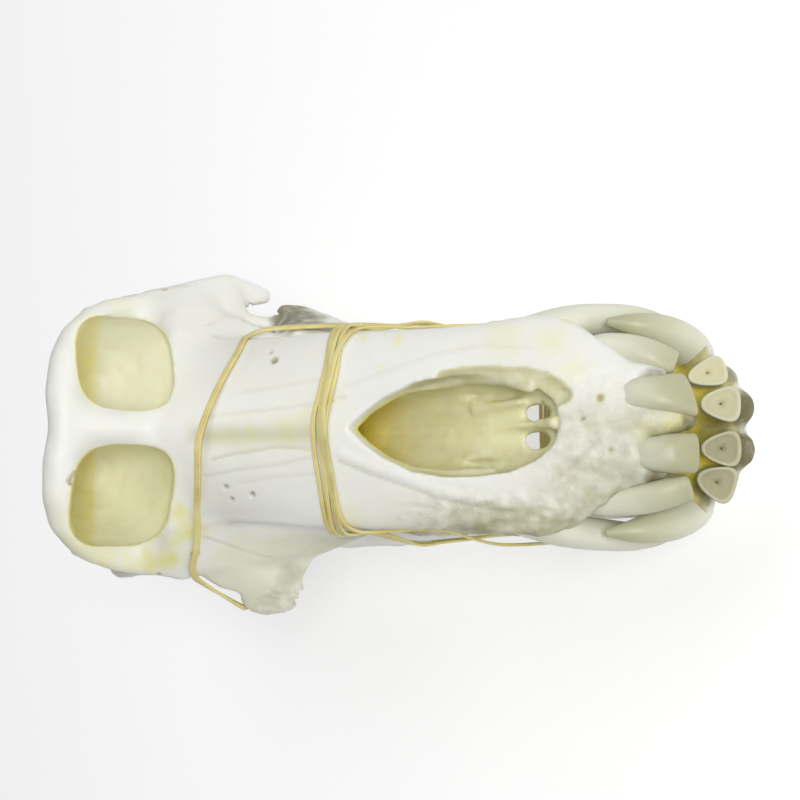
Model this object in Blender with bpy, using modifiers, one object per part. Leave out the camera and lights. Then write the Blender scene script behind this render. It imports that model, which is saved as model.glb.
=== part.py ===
"""Skull of an old male baboon with its lower jaw, life size, held together by two rubber bands.

Points are in millimetres in the skull's own frame: x forward along the biting plane, y to its left,
z up from the biting plane. The whole is moved at the end, so that it stands on z = 0.
"""

import math

import bmesh
import bpy
import numpy as np
from mathutils import Matrix, Vector
from mathutils.bvhtree import BVHTree

MM = 0.001

# Main sizes
FLOOR_Z = -50.0
CRANIUM_LEAN = 1.5
MANDIBLE_LEAN = 0.8
THIN_BAND = (1.9, 1.5)
THICK_BAND = (4.6, 1.5)
BAND_GAP = 0.4
BAND_STEPS = 76
VOXEL = 1.25
CRANIUM_TRIANGLES = 7200
MANDIBLE_TRIANGLES = 3000

# Eye sockets: side, centre from the midline, width and height, the right one a little larger
ORBITS = [(1, 18.15, 27.3, 27.1), (-1, 18.7, 29.0, 28.4)]

# Muzzle sections: x at the top, x at the bottom, then eleven (y, z) points of the left half
MUZZLE = [
    (-14, 24, [(0, 85), (9, 82), (20, 74), (29, 66), (32, 60), (30, 47), (25, 30), (22, 18),
        (16, 16), (10, 24), (0, 26)]),
    (3, 32, [(0, 88), (8, 84), (17, 72), (24, 64), (27, 59), (25, 44), (27, 22), (26, 10.5),
        (17.5, 10), (11, 19), (0, 21)]),
    (16, 42, [(0, 81.5), (7, 79), (17, 69), (24, 61.5), (26.5, 57), (23.5, 42), (30, 18),
        (27.5, 9.5), (17.5, 9.2), (12, 14.5), (0, 16)]),
    (32, 54, [(0, 70.5), (7, 69), (17, 63.5), (24.5, 57.5), (27, 53), (22.5, 38), (30, 16),
        (27.5, 9), (17.5, 9), (12.5, 14), (0, 15.5)]),
    (48, 66, [(0, 60.8), (8, 60), (18, 56), (25, 52.5), (27.5, 48), (22.5, 34), (29.8, 15.5),
        (27.5, 9), (17, 9), (12.5, 13.5), (0, 15)]),
    (62, 78, [(0, 52.8), (8, 52), (18, 49), (25.3, 46.2), (27.6, 42), (22.5, 30), (28.8, 15),
        (26.8, 9), (17, 9), (12.5, 13), (0, 14.5)]),
    (76, 88, [(0, 45.5), (10, 44.5), (18.5, 41.8), (25.2, 39.2), (27.3, 35.5), (23.5, 27),
        (28.6, 15), (26.5, 9.5), (17, 9.5), (12, 13), (0, 14)]),
    (90, 97, [(0, 37.6), (12, 35.8), (19, 33.6), (25, 32), (27.6, 28.5), (26, 23), (29.4, 15.5),
        (26.5, 10), (17, 10), (11, 12.5), (0, 13)]),
    (101, 105, [(0, 29.8), (11, 28.9), (19, 27.4), (26.5, 26.2), (30, 22.5), (30, 18), (30.2, 14),
        (27, 10), (16.5, 10), (9, 12), (0, 13)]),
    (112, 114, [(0, 21.9), (8, 21.9), (15, 21), (20.5, 19.4), (23.6, 16.6), (23.4, 14.5),
        (22.4, 13), (20.5, 11.6), (14, 10.6), (7, 10.6), (0, 11)]),
    (121, 120.5, [(0, 14.6), (6, 14.8), (11.5, 14), (16, 12.6), (18.8, 11), (19.2, 9.6),
        (18.4, 8.6), (16, 8), (11, 7.6), (6, 7.6), (0, 8)]),
    (127, 124, [(0, 8.6), (4, 9.2), (7.5, 9), (10, 8.4), (11.6, 7.8), (11.8, 7.2), (11.2, 6.7),
        (9.6, 6.4), (7, 6.2), (4, 6.2), (0, 6.4)]),
]

# Braincase sections across its own axis: top x, top z, half height, half width
BRAINCASE = [
    (-8, 91, 17, 21),
    (-24, 88, 24, 26),
    (-40, 80.5, 29, 34),
    (-58, 70.5, 31, 40),
    (-75, 59.5, 29, 41.5),
    (-88, 47, 22, 37),
    (-95, 35, 13.5, 27),
    (-97.5, 29.5, 7, 16),
]
DOWN = Vector((0.4067, 0.0, -0.9135))


def ball_points():
    bm = bmesh.new()
    bmesh.ops.create_icosphere(bm, subdivisions=2, radius=1.0)
    points = np.array([tuple(v.co) for v in bm.verts])
    bm.free()
    return points


BALL = ball_points()


def web(*points):
    """The smallest convex shape round balls, each given as (x, y, z, radius)."""
    bm = bmesh.new()
    for x, y, z, r in points:
        for offset in BALL * r:
            bm.verts.new((x + offset[0], y + offset[1], z + offset[2]))
    bm.verts.ensure_lookup_table()
    bmesh.ops.convex_hull(bm, input=list(bm.verts))
    loose = [v for v in bm.verts if not v.link_faces]
    bmesh.ops.delete(bm, geom=loose, context="VERTS")
    bm.verts.index_update()
    verts = [tuple(v.co) for v in bm.verts]
    faces = [tuple(v.index for v in f.verts) for f in bm.faces]
    bm.free()
    return verts, faces


def flip(shape):
    """The same shape on the other side of the skull."""
    verts, faces = shape
    return [(x, -y, z) for x, y, z in verts], [tuple(reversed(f)) for f in faces]


def pair(*points):
    shape = web(*points)
    return [shape, flip(shape)]


def chain(points):
    """A rod through balls, as one web for each step."""
    return [web(a, b) for a, b in zip(points, points[1:])]


def pair_chain(points):
    rods = chain(points)
    return rods + [flip(rod) for rod in rods]


def loft(rings, levels=0):
    """A closed skin over rings of equally many points, rounded by subdivision."""
    count = len(rings[0])
    verts = [tuple(p) for ring in rings for p in ring]
    faces = []
    for i in range(len(rings) - 1):
        for j in range(count):
            k = (j + 1) % count
            faces.append((i * count + j, i * count + k, (i + 1) * count + k, (i + 1) * count + j))
    faces.append(tuple(reversed(range(count))))
    last = (len(rings) - 1) * count
    faces.append(tuple(range(last, last + count)))
    if not levels:
        return facing_out(verts, faces)
    obj = mesh_object("loft", verts, faces)
    rounded = obj.modifiers.new("rounded", "SUBSURF")
    rounded.levels = levels
    rounded.render_levels = levels
    apply_modifiers(obj)
    verts = [tuple(v.co / MM) for v in obj.data.vertices]
    faces = [tuple(f.vertices) for f in obj.data.polygons]
    bpy.data.objects.remove(obj)
    return facing_out(verts, faces)


def facing_out(verts, faces):
    volume = 0.0
    for face in faces:
        a = Vector(verts[face[0]])
        for j in range(1, len(face) - 1):
            volume += a.dot(Vector(verts[face[j]]).cross(Vector(verts[face[j + 1]])))
    if volume < 0:
        faces = [tuple(reversed(f)) for f in faces]
    return verts, faces


def mesh_object(name, verts, faces):
    mesh = bpy.data.meshes.new(name)
    mesh.from_pydata([(x * MM, y * MM, z * MM) for x, y, z in verts], [], faces)
    mesh.update()
    obj = bpy.data.objects.new(name, mesh)
    bpy.context.scene.collection.objects.link(obj)
    return obj


def joined(name, shapes):
    verts = []
    faces = []
    for more_verts, more_faces in shapes:
        first = len(verts)
        verts.extend(more_verts)
        faces.extend(tuple(i + first for i in f) for f in more_faces)
    return mesh_object(name, verts, faces)


def apply_modifiers(obj):
    bpy.context.view_layer.update()
    graph = bpy.context.evaluated_depsgraph_get()
    mesh = bpy.data.meshes.new_from_object(obj.evaluated_get(graph))
    obj.modifiers.clear()
    old = obj.data
    obj.data = mesh
    bpy.data.meshes.remove(old)


def keep_largest(obj):
    """Drops every closed surface but the one that encloses the most."""
    bm = bmesh.new()
    bm.from_mesh(obj.data)
    left = set(bm.verts)
    islands = []
    while left:
        seed = left.pop()
        island = {seed}
        stack = [seed]
        while stack:
            for edge in stack.pop().link_edges:
                for v in edge.verts:
                    if v not in island:
                        island.add(v)
                        stack.append(v)
        left -= island
        islands.append(island)
    if len(islands) > 1:
        sizes = []
        for island in islands:
            co = np.array([tuple(v.co) for v in island])
            sizes.append(float(np.prod(co.max(axis=0) - co.min(axis=0))))
        keep = islands[int(np.argmax(sizes))]
        bmesh.ops.delete(bm, geom=[v for v in bm.verts if v not in keep], context="VERTS")
        bm.to_mesh(obj.data)
    bm.free()


def fuse(obj, voxel, smooth_steps):
    """One skin over overlapping shapes."""
    remesh = obj.modifiers.new("skin", "REMESH")
    remesh.mode = "VOXEL"
    remesh.voxel_size = voxel * MM
    smooth = obj.modifiers.new("smooth", "SMOOTH")
    smooth.factor = 0.5
    smooth.iterations = smooth_steps
    apply_modifiers(obj)
    keep_largest(obj)


def combine(obj, others, operation):
    """Cuts the others from the object, or joins them to it, and removes them."""
    for other in others:
        modifier = obj.modifiers.new("combine", "BOOLEAN")
        modifier.operation = operation
        modifier.solver = "EXACT"
        modifier.object = other
    apply_modifiers(obj)
    for other in others:
        bpy.data.objects.remove(other)
    keep_largest(obj)


def lean(obj, amount):
    """Moves the front of a jaw a little to the left."""
    for v in obj.data.vertices:
        share = min(max((v.co.x / MM - 60) / 60, 0.0), 1.0)
        v.co.y += amount * MM * share * share * (3 - 2 * share)
    obj.data.update()


def thin_out(obj, triangles):
    mesh = obj.data
    mesh.calc_loop_triangles()
    ratio = triangles / len(mesh.loop_triangles)
    if ratio < 1:
        fewer = obj.modifiers.new("fewer", "DECIMATE")
        fewer.ratio = ratio
        fewer.use_collapse_triangulate = True
        apply_modifiers(obj)


def muzzle():
    rings = []
    for x_top, x_bottom, half in MUZZLE:
        z_top = half[0][1]
        z_bottom = min(z for _, z in half)
        ring = []
        for y, z in half:
            share = (z_top - z) / (z_top - z_bottom)
            ring.append((x_top + (x_bottom - x_top) * share, y, z))
        ring += [(x, -y, z) for x, y, z in reversed(ring[1:-1])]
        rings.append(ring)
    return loft(rings, levels=2)


def braincase():
    rings = []
    for x, z, half_height, half_width in BRAINCASE:
        centre = Vector((x, 0, z)) + DOWN * half_height
        ring = []
        for i in range(16):
            angle = 2 * math.pi * i / 16
            across = math.cos(angle)
            along = math.sin(angle)
            across = math.copysign(abs(across) ** 0.85, across)
            along = math.copysign(abs(along) ** 0.9, along)
            width = half_width * (1 - 0.28 * max(0.0, -along))
            ring.append(tuple(centre + Vector((0, width * across, 0)) - DOWN * half_height * along))
        rings.append(ring)
    return loft(rings, levels=2)


def face():
    shapes = []
    # Bone between the front teeth
    shapes += [web((118, 0, 11, 4.5), (127, 0, 7, 3), (132.5, 0, 4.4, 1.8), (120, 0, 7, 3))]
    shapes += pair((116, 14, 10, 4), (124, 13, 7.2, 2.6), (128, 12.6, 5.4, 1.6))
    # Brow ridge and outer pillar of each orbit, a little uneven
    left = [
        (2, 0, 99.5, 5.2), (1, 10, 100.3, 5.1), (0, 18, 99, 4.8), (-2, 24.3, 95.5, 4.4),
        (-5, 29.7, 88.5, 4.2),
        (-7.5, 32.9, 81.5, 4.2), (-8, 34.5, 74, 4.2), (-6.5, 36.3, 66.8, 4.3), (-2, 37.6, 61, 4.6),
    ]
    right = [
        (2, 0, 99.5, 5.2), (1, -10, 100.5, 5.2), (0, -18.5, 100, 5), (-2, -25.6, 97.3, 4.4),
        (-4.5, -29.9, 92, 4.3),
        (-7.5, -33.6, 85, 4.3), (-8, -36.2, 76, 4.3), (-6.5, -37.4, 68, 4.4), (-2, -37.4, 61, 4.6),
    ]
    shapes += chain(left) + chain(right)
    # Lower rim of each orbit
    shapes += pair_chain([
        (-2, 37, 61, 4.6), (4, 31, 65.5, 4.2), (8.5, 25.5, 69, 4), (11.5, 18, 72, 4),
        (12.5, 10.5, 75.5, 4), (10.5, 4, 79, 4.6),
    ])
    shapes += pair((-2, 37, 61, 4.6), (4, 31, 65, 4.4), (0, 33, 57, 5), (8, 26, 68, 4))
    shapes += pair((8, 26, 68, 4), (11.5, 18, 71.5, 4), (12, 20, 61, 5), (2, 30, 58, 5))
    shapes += pair((11.5, 18, 71.5, 4), (12, 9, 76, 4), (15, 13, 68, 4.5), (11, 4, 78, 5))
    # Pillar between the orbits
    shapes += [web((2, 0, 96, 6), (5, 0, 87, 4.4), (11, 0, 79, 5), (-20, 0, 82, 6), (-20, 0, 72, 6))]
    shapes += pair((11, 0, 79, 5), (12, 7, 73, 4.5), (-20, 4, 72, 5))
    # Mass behind the orbits
    shapes += pair((-3, 2, 95, 5), (-3, 21, 94, 4.2), (-24, 3, 82, 6), (-24, 18, 79, 6))
    shapes += pair((-3, 21, 94, 4.2), (-9.5, 29, 86.5, 4.2), (-24, 18, 79, 6), (-24, 24, 74, 5))
    shapes += pair((-3, 2, 95, 5), (-9, 29, 86, 4), (-34, 12, 75, 6), (-34, 21, 70, 5), (-30, 2, 79, 6))
    shapes += pair((-9, 29, 86, 4), (-11, 32.5, 74, 4), (-32, 22, 72, 5), (-34, 16, 66, 6), (-30, 6, 78, 6))
    shapes += pair(
        (-11, 32.5, 74, 4), (-5, 33, 62, 4), (4, 25, 63, 4), (-26, 18, 60, 5), (-34, 16, 66, 6),
        (-20, 8, 58, 6),
    )
    shapes += pair((4, 25, 63, 4), (11, 9, 70, 4), (-26, 18, 60, 5), (-20, 6, 56, 6))
    return shapes


def base():
    shapes = []
    # Floor of the braincase, and the plates behind the palate
    shapes += [web((0, 0, 40, 8), (-20, 0, 28, 8), (-43, 0, 17, 6), (-20, 10, 34, 8), (-20, -10, 34, 8))]
    shapes += pair((28, 13, 24, 4), (30, 17, 13, 4), (8, 14, 40, 5), (2, 12, 24, 2.2))
    shapes += pair((2, 12, 24, 2.2), (-4, 12, 14, 2), (4, 12, 14, 2), (-2, 13, 40, 4), (-14, 14, 34, 4))
    shapes += pair((-4, 15, 30, 3), (-10, 18, 20, 1.8), (2, 17, 24, 1.8), (-18, 20, 38, 4))
    # Jaw socket, root of the cheek arch and its broken stump
    shapes += pair((-18, 28, 49, 5), (-40, 28, 45, 5), (-20, 40, 47, 3.4), (-38, 40, 45, 3.4))
    shapes += pair((-20, 40, 48, 3), (-36, 40, 46, 3), (-13, 40.5, 48.5, 2.6), (-17, 41, 47, 2.6))
    shapes += pair((-41, 32, 40, 3.2), (-41, 40, 40, 3.2), (-40, 35, 35, 2.6))
    # Ear tube, mastoid and crest from ear to ear
    shapes += pair((-48, 40, 39, 3.6), (-44, 22, 25, 4.4), (-53, 33, 32, 6))
    shapes += pair((-58, 36, 33, 8), (-60, 35, 24, 5), (-70, 34, 30, 7))
    shapes += pair_chain([
        (-38, 40.5, 46, 3), (-50, 42, 45, 3.2), (-64, 43, 40, 3.4), (-78, 39.5, 35, 3.2),
        (-89, 30, 32.5, 3),
        (-96, 16, 32, 2.8), (-99, 0, 32, 2.8),
    ])
    # Joints for the neck
    shapes += pair((-46, 8, 8.5, 4), (-55, 11, 4.5, 4.4), (-60, 12, 9, 4.5))
    return shapes


def cheeks():
    shapes = []
    # Right cheekbone, ending below in a rough hook
    shapes += [
        web((-5, -37, 68, 4), (0, -34, 58, 4.5), (0.5, -38.6, 53, 3.2), (8, -36, 47, 4)),
        web((0, -34, 58, 4.5), (12, -24, 58, 4), (8, -36, 47, 4), (22, -26, 44, 4)),
        web(
            (0.5, -38.6, 53, 3.2), (8, -36, 47, 4), (3, -50, 34, 2.8), (11, -44, 30, 3.4),
            (3, -44, 42, 2.6),
        ),
        web((8, -36, 47, 4), (3, -50, 34, 2.8), (11, -44, 30, 3.4), (15, -34.5, 30, 4)),
        web((8, -36, 47, 4), (22, -26, 44, 4), (15, -34.5, 30, 4), (24, -28, 28, 4), (38, -25, 22, 4)),
        web((3, -50, 34, 2.8), (3, -51.5, 31, 2.6), (7, -50, 26.5, 2.8), (11, -44, 28, 3.4)),
        web((1.5, -50.6, 37.5, 1.4), (2.5, -51.4, 34, 2.2), (4, -48.5, 34, 2.6)),
    ]
    # Left cheekbone, broken off under the orbit, and its stump on the jaw
    shapes += [
        web((-5, 36.5, 68, 4.2), (0, 33, 58, 4.5), (-3, 42, 54, 3), (6, 31.5, 50, 3)),
        web((0, 33, 58, 4.5), (12, 24, 58, 4), (7, 31.5, 50, 2.6), (20, 25.5, 46, 3.4)),
        web((-3, 42, 54, 3), (6, 31.5, 50, 3), (-1, 45.2, 45, 2.2), (6, 33.5, 44, 2)),
        web((-1, 45.2, 45, 2.2), (0, 38, 45, 2.2), (2, 41.8, 35.5, 1.7), (2, 40, 38, 2)),
        web(
            (11, 36.6, 33.5, 1.8), (11, 33, 33, 2.6), (14, 36.4, 28, 1.8), (24, 29.5, 28, 3.2),
            (38, 25, 22, 4), (28, 26, 38, 4),
        ),
        web((11, 33, 33, 2.6), (28, 26, 40, 4), (20, 26.5, 40, 3), (38, 25, 24, 4)),
    ]
    return shapes


def egg(rings, count=20, power=2.5):
    """A cutter through rounded sections: centre, half width vector and half height vector."""
    out = []
    for centre, wide, high in rings:
        ring = []
        for i in range(count):
            angle = 2 * math.pi * i / count
            c = math.cos(angle)
            s = math.sin(angle)
            c = math.copysign(abs(c) ** (2 / power), c)
            s = math.copysign(abs(s) ** (2 / power), s)
            ring.append(tuple(Vector(centre) + Vector(wide) * c + Vector(high) * s))
        out.append(ring)
    return loft(out)


def orbit_cutter(side, from_midline, width, height):
    """Room of one eye socket, open along the line from which the face looks at you."""
    tilt = math.radians(17)
    up = Vector((-math.sin(tilt), 0, math.cos(tilt)))
    wide = Vector((-0.2, 0.98 * side, 0))
    rim = Vector((4, from_midline * side, 82.9))
    apex = Vector((-35, 10.5 * side, 73))
    outward = Vector((0.847, -0.02, 0.531))
    rings = []
    for step, grow in (
        (20, 1.0), (8, 1.0), (0, 1.0), (-0.12, 0.96), (-0.35, 0.8), (-0.65, 0.56), (-0.88, 0.32),
        (-1, 0.12),
    ):
        centre = rim + outward * step if step > 0 else rim.lerp(apex, -step)
        rings.append((centre, wide * width / 2 * grow, up * height / 2 * grow))
    return egg(rings)


def nose_cutter():
    """Opening of the nose with the room behind it."""
    outline = [
        (63, 0), (66, 2.6), (71, 6), (78, 9.6), (86, 12.2), (93, 12.9), (100, 12.2), (106, 9.4),
        (110, 5.4), (111.5, 0),
    ]
    outline += [(x, -y) for x, y in reversed(outline[1:-1])]
    rings = []
    for lift, grow in ((16, 1.0), (2, 1.0), (-8, 0.96), (-16, 0.86), (-22, 0.7)):
        ring = []
        for x, y in outline:
            z = 51.5 - 0.624 * (x - 64)
            cx = 88 + (x - 88) * grow
            ring.append((cx + lift * 0.4, y * grow, max(z + lift * 0.9, 17.5 + 0.1 * (100 - x) * 0.3)))
        rings.append(ring)
    throat = egg([
        ((18, 0, 44), (0, 4, 0), (0, 0, 14)),
        ((28, 0, 42), (0, 8, 0), (0, 0, 19)),
        ((44, 0, 38), (0, 10, 0), (0, 0, 17)),
        ((60, 0, 34), (0, 11, 0), (0, 0, 13.5)),
        ((76, 0, 29.5), (0, 11.5, 0), (0, 0, 10)),
        ((90, 0, 26), (0, 10.5, 0), (0, 0, 7)),
        ((101, 0, 23), (0, 8, 0), (0, 0, 4.5)),
    ])
    return [loft(rings), throat]


def choana_cutter():
    return egg([
        ((34, 0, 30), (0, 3.2, 0), (0, 0, 5)),
        ((24, 0, 30), (0, 7.5, 0), (0, 0, 8)),
        ((6, 0, 27), (0, 8.5, 0), (0, 0, 9)),
        ((-12, 0, 15), (0, 9, 0), (0, 0, 9)),
    ])


def socket_cutter():
    """Room round the head of the lower jaw."""
    return pair((-29.5, 28.5, 33.5, 4), (-29.5, 41.5, 33, 3.8), (-28.5, 35, 24, 4), (-29.5, 34, 16, 5))


def cheek_notch():
    """Gap in the edge of the right cheekbone, where the thin band spans it."""
    view = Vector((0.8, 0, 0.6)) * 16
    balls = []
    for centre in ((-0.5, -46, 51.5), (1.5, -48.2, 42)):
        for side in (-1, 1):
            balls.append((*(Vector(centre) + view * side), 1.9))
    return web(*balls)


def cranium_cutters():
    shapes = socket_cutter() + [cheek_notch()]
    shapes += [orbit_cutter(*sizes) for sizes in ORBITS]
    shapes += nose_cutter()
    shapes.append(choana_cutter())
    # Holes behind the front teeth, open from the nose to the mouth
    hole = egg([
        ((104, 3.6, 26), (3.4, 0, 0), (0, 2.3, 0)),
        ((97, 3.6, 15), (3.6, 0, 0), (0, 2.3, 0)),
        ((90, 3.6, 4), (3.8, 0, 0), (0, 2.3, 0)),
    ], count=10)
    shapes += [hole, flip(hole)]
    # Hole for the spinal cord
    shapes.append(egg([
        ((-66, 0, -6), (8, 0, -4), (0, 8, 0)),
        ((-60, 0, 8), (7.5, 0, -3.5), (0, 7.5, 0)),
        ((-56, 0, 19), (7.5, 0, -3.5), (0, 7.5, 0)),
        ((-54, 0, 26), (4, 0, -2), (0, 4, 0)),
    ], count=14, power=2.0))
    return shapes


def section_ring(centre, along, across, a, b, count, power=2.4):
    ring = []
    for i in range(count):
        angle = 2 * math.pi * (i + 0.5) / count
        c = math.cos(angle)
        s = math.sin(angle)
        c = math.copysign(abs(c) ** (2 / power), c)
        s = math.copysign(abs(s) ** (2 / power), s)
        ring.append(Vector(centre) + Vector(along) * a * c + Vector(across) * b * s)
    return ring


def peg(stations, along, count=8, power=2.4, normal=None):
    """A tooth as sections along its length: (centre, half length, half width)."""
    rings = []
    for i, (centre, a, b) in enumerate(stations):
        before = Vector(stations[max(i - 1, 0)][0])
        after = Vector(stations[min(i + 1, len(stations) - 1)][0])
        axis = (after - before).normalized() if normal is None else Vector(normal)
        across = axis.cross(Vector(along)).normalized()
        run = across.cross(axis).normalized()
        rings.append(section_ring(centre, run, across, a, b, count, power))
    return loft(rings)


def cheek_tooth(x, y, length, width, gum_z, tip_z, root_z, lobes=2):
    """A molar or premolar: a waisted crown with a low cusp at each corner."""
    corners = []
    for j in range(lobes):
        middle = (2 * j + 1) / lobes - 1
        corners += [(middle - 0.84 / lobes, 0.8), (middle, 1.0), (middle + 0.84 / lobes, 0.8)]
    full = corners + [(u, -v) for u, v in reversed(corners)]
    rise = tip_z - gum_z
    rings = []
    for z, grow, dip in (
        (root_z, 0.74, 0), (gum_z, 0.9, 0), (gum_z + rise * 0.3, 1.03, 0), (gum_z + rise * 0.72, 0.97, 0),
        (tip_z, 0.8, 0.22), (tip_z - rise * 0.3, 0.34, 0),
    ):
        ring = []
        for j, (u, v) in enumerate(full):
            low = dip if j % 3 != 1 else 0.0
            ring.append((x + u * length / 2 * grow, y + v * width / 2 * grow, z - rise * low))
        rings.append(ring)
    return loft(rings)


def upper_teeth():
    teeth = []
    # Middle front teeth, left and right
    for side, turn, back, half in ((1, -0.37, 0, 5.5), (-1, 0.0, 2.6, 5.1)):
        teeth.append(peg([
            ((112, 6.6 * side, 9.5 - back), 2.4, 2.6),
            ((120 + back, 7.2 * side, 9.1 - back * 0.8), 3.4, 3.2),
            ((125 + back, 7.5 * side, 7.9 - back * 0.4), 4.3, 3.9),
            ((130 + back, 7.4 * side, 4.9 - back * 0.2), 5.0, 3.8),
            ((134.6 + back * 0.7, 7.3 * side, 0.2), half, 2.2),
        ], along=(turn, side, 0), count=10))
    # Outer front teeth
    for side, ahead in ((1, 0), (-1, 5)):
        teeth.append(peg([
            ((104, 18 * side, 10.5), 2.2, 2.4), ((113, 20.2 * side, 9.8), 2.9, 3.2),
            ((119 + ahead * 0.5, 19.6 * side, 7.6), 3.6, 3.5),
            ((125 + ahead * 0.8, 17.8 * side, 4.3), 3.9, 3.2),
            ((129.5 + ahead, 15.8 * side, 0.2), 3.6, 2),
        ], along=(-0.4, 0.92 * side, 0), count=10))
    # Canines
    for side in (1, -1):
        teeth.append(peg([
            ((94, 23.5 * side, 24), 4, 3.4), ((100.5, 26 * side, 15), 6.2, 4.4),
            ((104, 27.6 * side, 7), 6.6, 4.4),
            ((106, 28.6 * side, -4), 6.2, 4.1), ((106.4, 29 * side, -13), 5.2, 3.6),
            ((106, 28.6 * side, -22), 3.8, 2.9),
            ((105, 27.8 * side, -29), 2.2, 1.9), ((104.4, 27 * side, -33.5), 0.8, 0.8),
        ], along=(1, 0.1 * side, 0), count=10))
    # Cheek teeth: x, y, length, width
    cheek = []
    for x, y, length, width, lobes in (
        (90, 22.6, 7.9, 8.2, 1), (82, 22.6, 8.2, 9.4, 1), (71.2, 22.4, 12.6, 10.6, 2),
        (58, 22.4, 14.2, 11.6, 2),
        (43.8, 22.2, 14.6, 11.6, 2),
    ):
        cheek.append(cheek_tooth(x, y, length, width, 9.2, 0.5, 15, lobes=lobes))
    return teeth + cheek + [flip(t) for t in cheek]


def lower_teeth():
    teeth = []
    # Front teeth, worn flat: side, middle x and y of the worn end, half breadth
    for side, x, y, half in (
        (1, 138.4, 6, 4), (-1, 138.6, 5.3, 4), (1, 134.2, 14, 3.4), (-1, 137.2, 13.8, 4.2),
    ):
        outer = y > 10
        teeth.append(peg([
            ((x - 18, y * 0.8 * side, -28), 2.4, 3.2), ((x - 11, y * 0.88 * side, -20.5), 3.2, 4),
            ((x - 4.6, y * 0.95 * side, -13), half * 0.9, 4.8), ((x, y * side, -7.4), half, 5),
        ], along=(-0.4 if outer else 0, side, 0), count=10))
    for side in (1, -1):
        # Canine, rising in front of the upper one
        teeth.append(peg([
            ((110, 14 * side, -34), 3.2, 4), ((118, 19 * side, -23), 5, 5.8),
            ((122.6, 22 * side, -13), 5.2, 5.6),
            ((123.2, 24.6 * side, -5), 4.5, 4.5), ((120.4, 26.2 * side, 3), 3.2, 3.2),
            ((115.8, 27 * side, 9.2), 1, 1.1),
        ], along=(0.8, -0.6 * side, 0), count=10))
        # Premolar that slopes back from the canine
        teeth.append(peg([
            ((99, 17 * side, -22), 4.4, 3), ((101, 19 * side, -12), 7.4, 3.4),
            ((98, 19.8 * side, -5), 5.8, 3.2),
            ((94.5, 20 * side, -1), 2.4, 2.2),
        ], along=(0.97, -0.25 * side, 0), normal=(0, 0, 1)))
    cheek = []
    for x, y, length, width, lobes in (
        (86.8, 19.6, 9.4, 7.6, 1), (76.2, 20, 12, 8.6, 2), (62.8, 20.4, 14.6, 10, 2),
        (46.6, 21.2, 17.8, 10.4, 3),
    ):
        cheek.append(cheek_tooth(x, y, length, width, -9, -0.4, -15, lobes=lobes))
    return teeth + cheek + [flip(t) for t in cheek]


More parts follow.
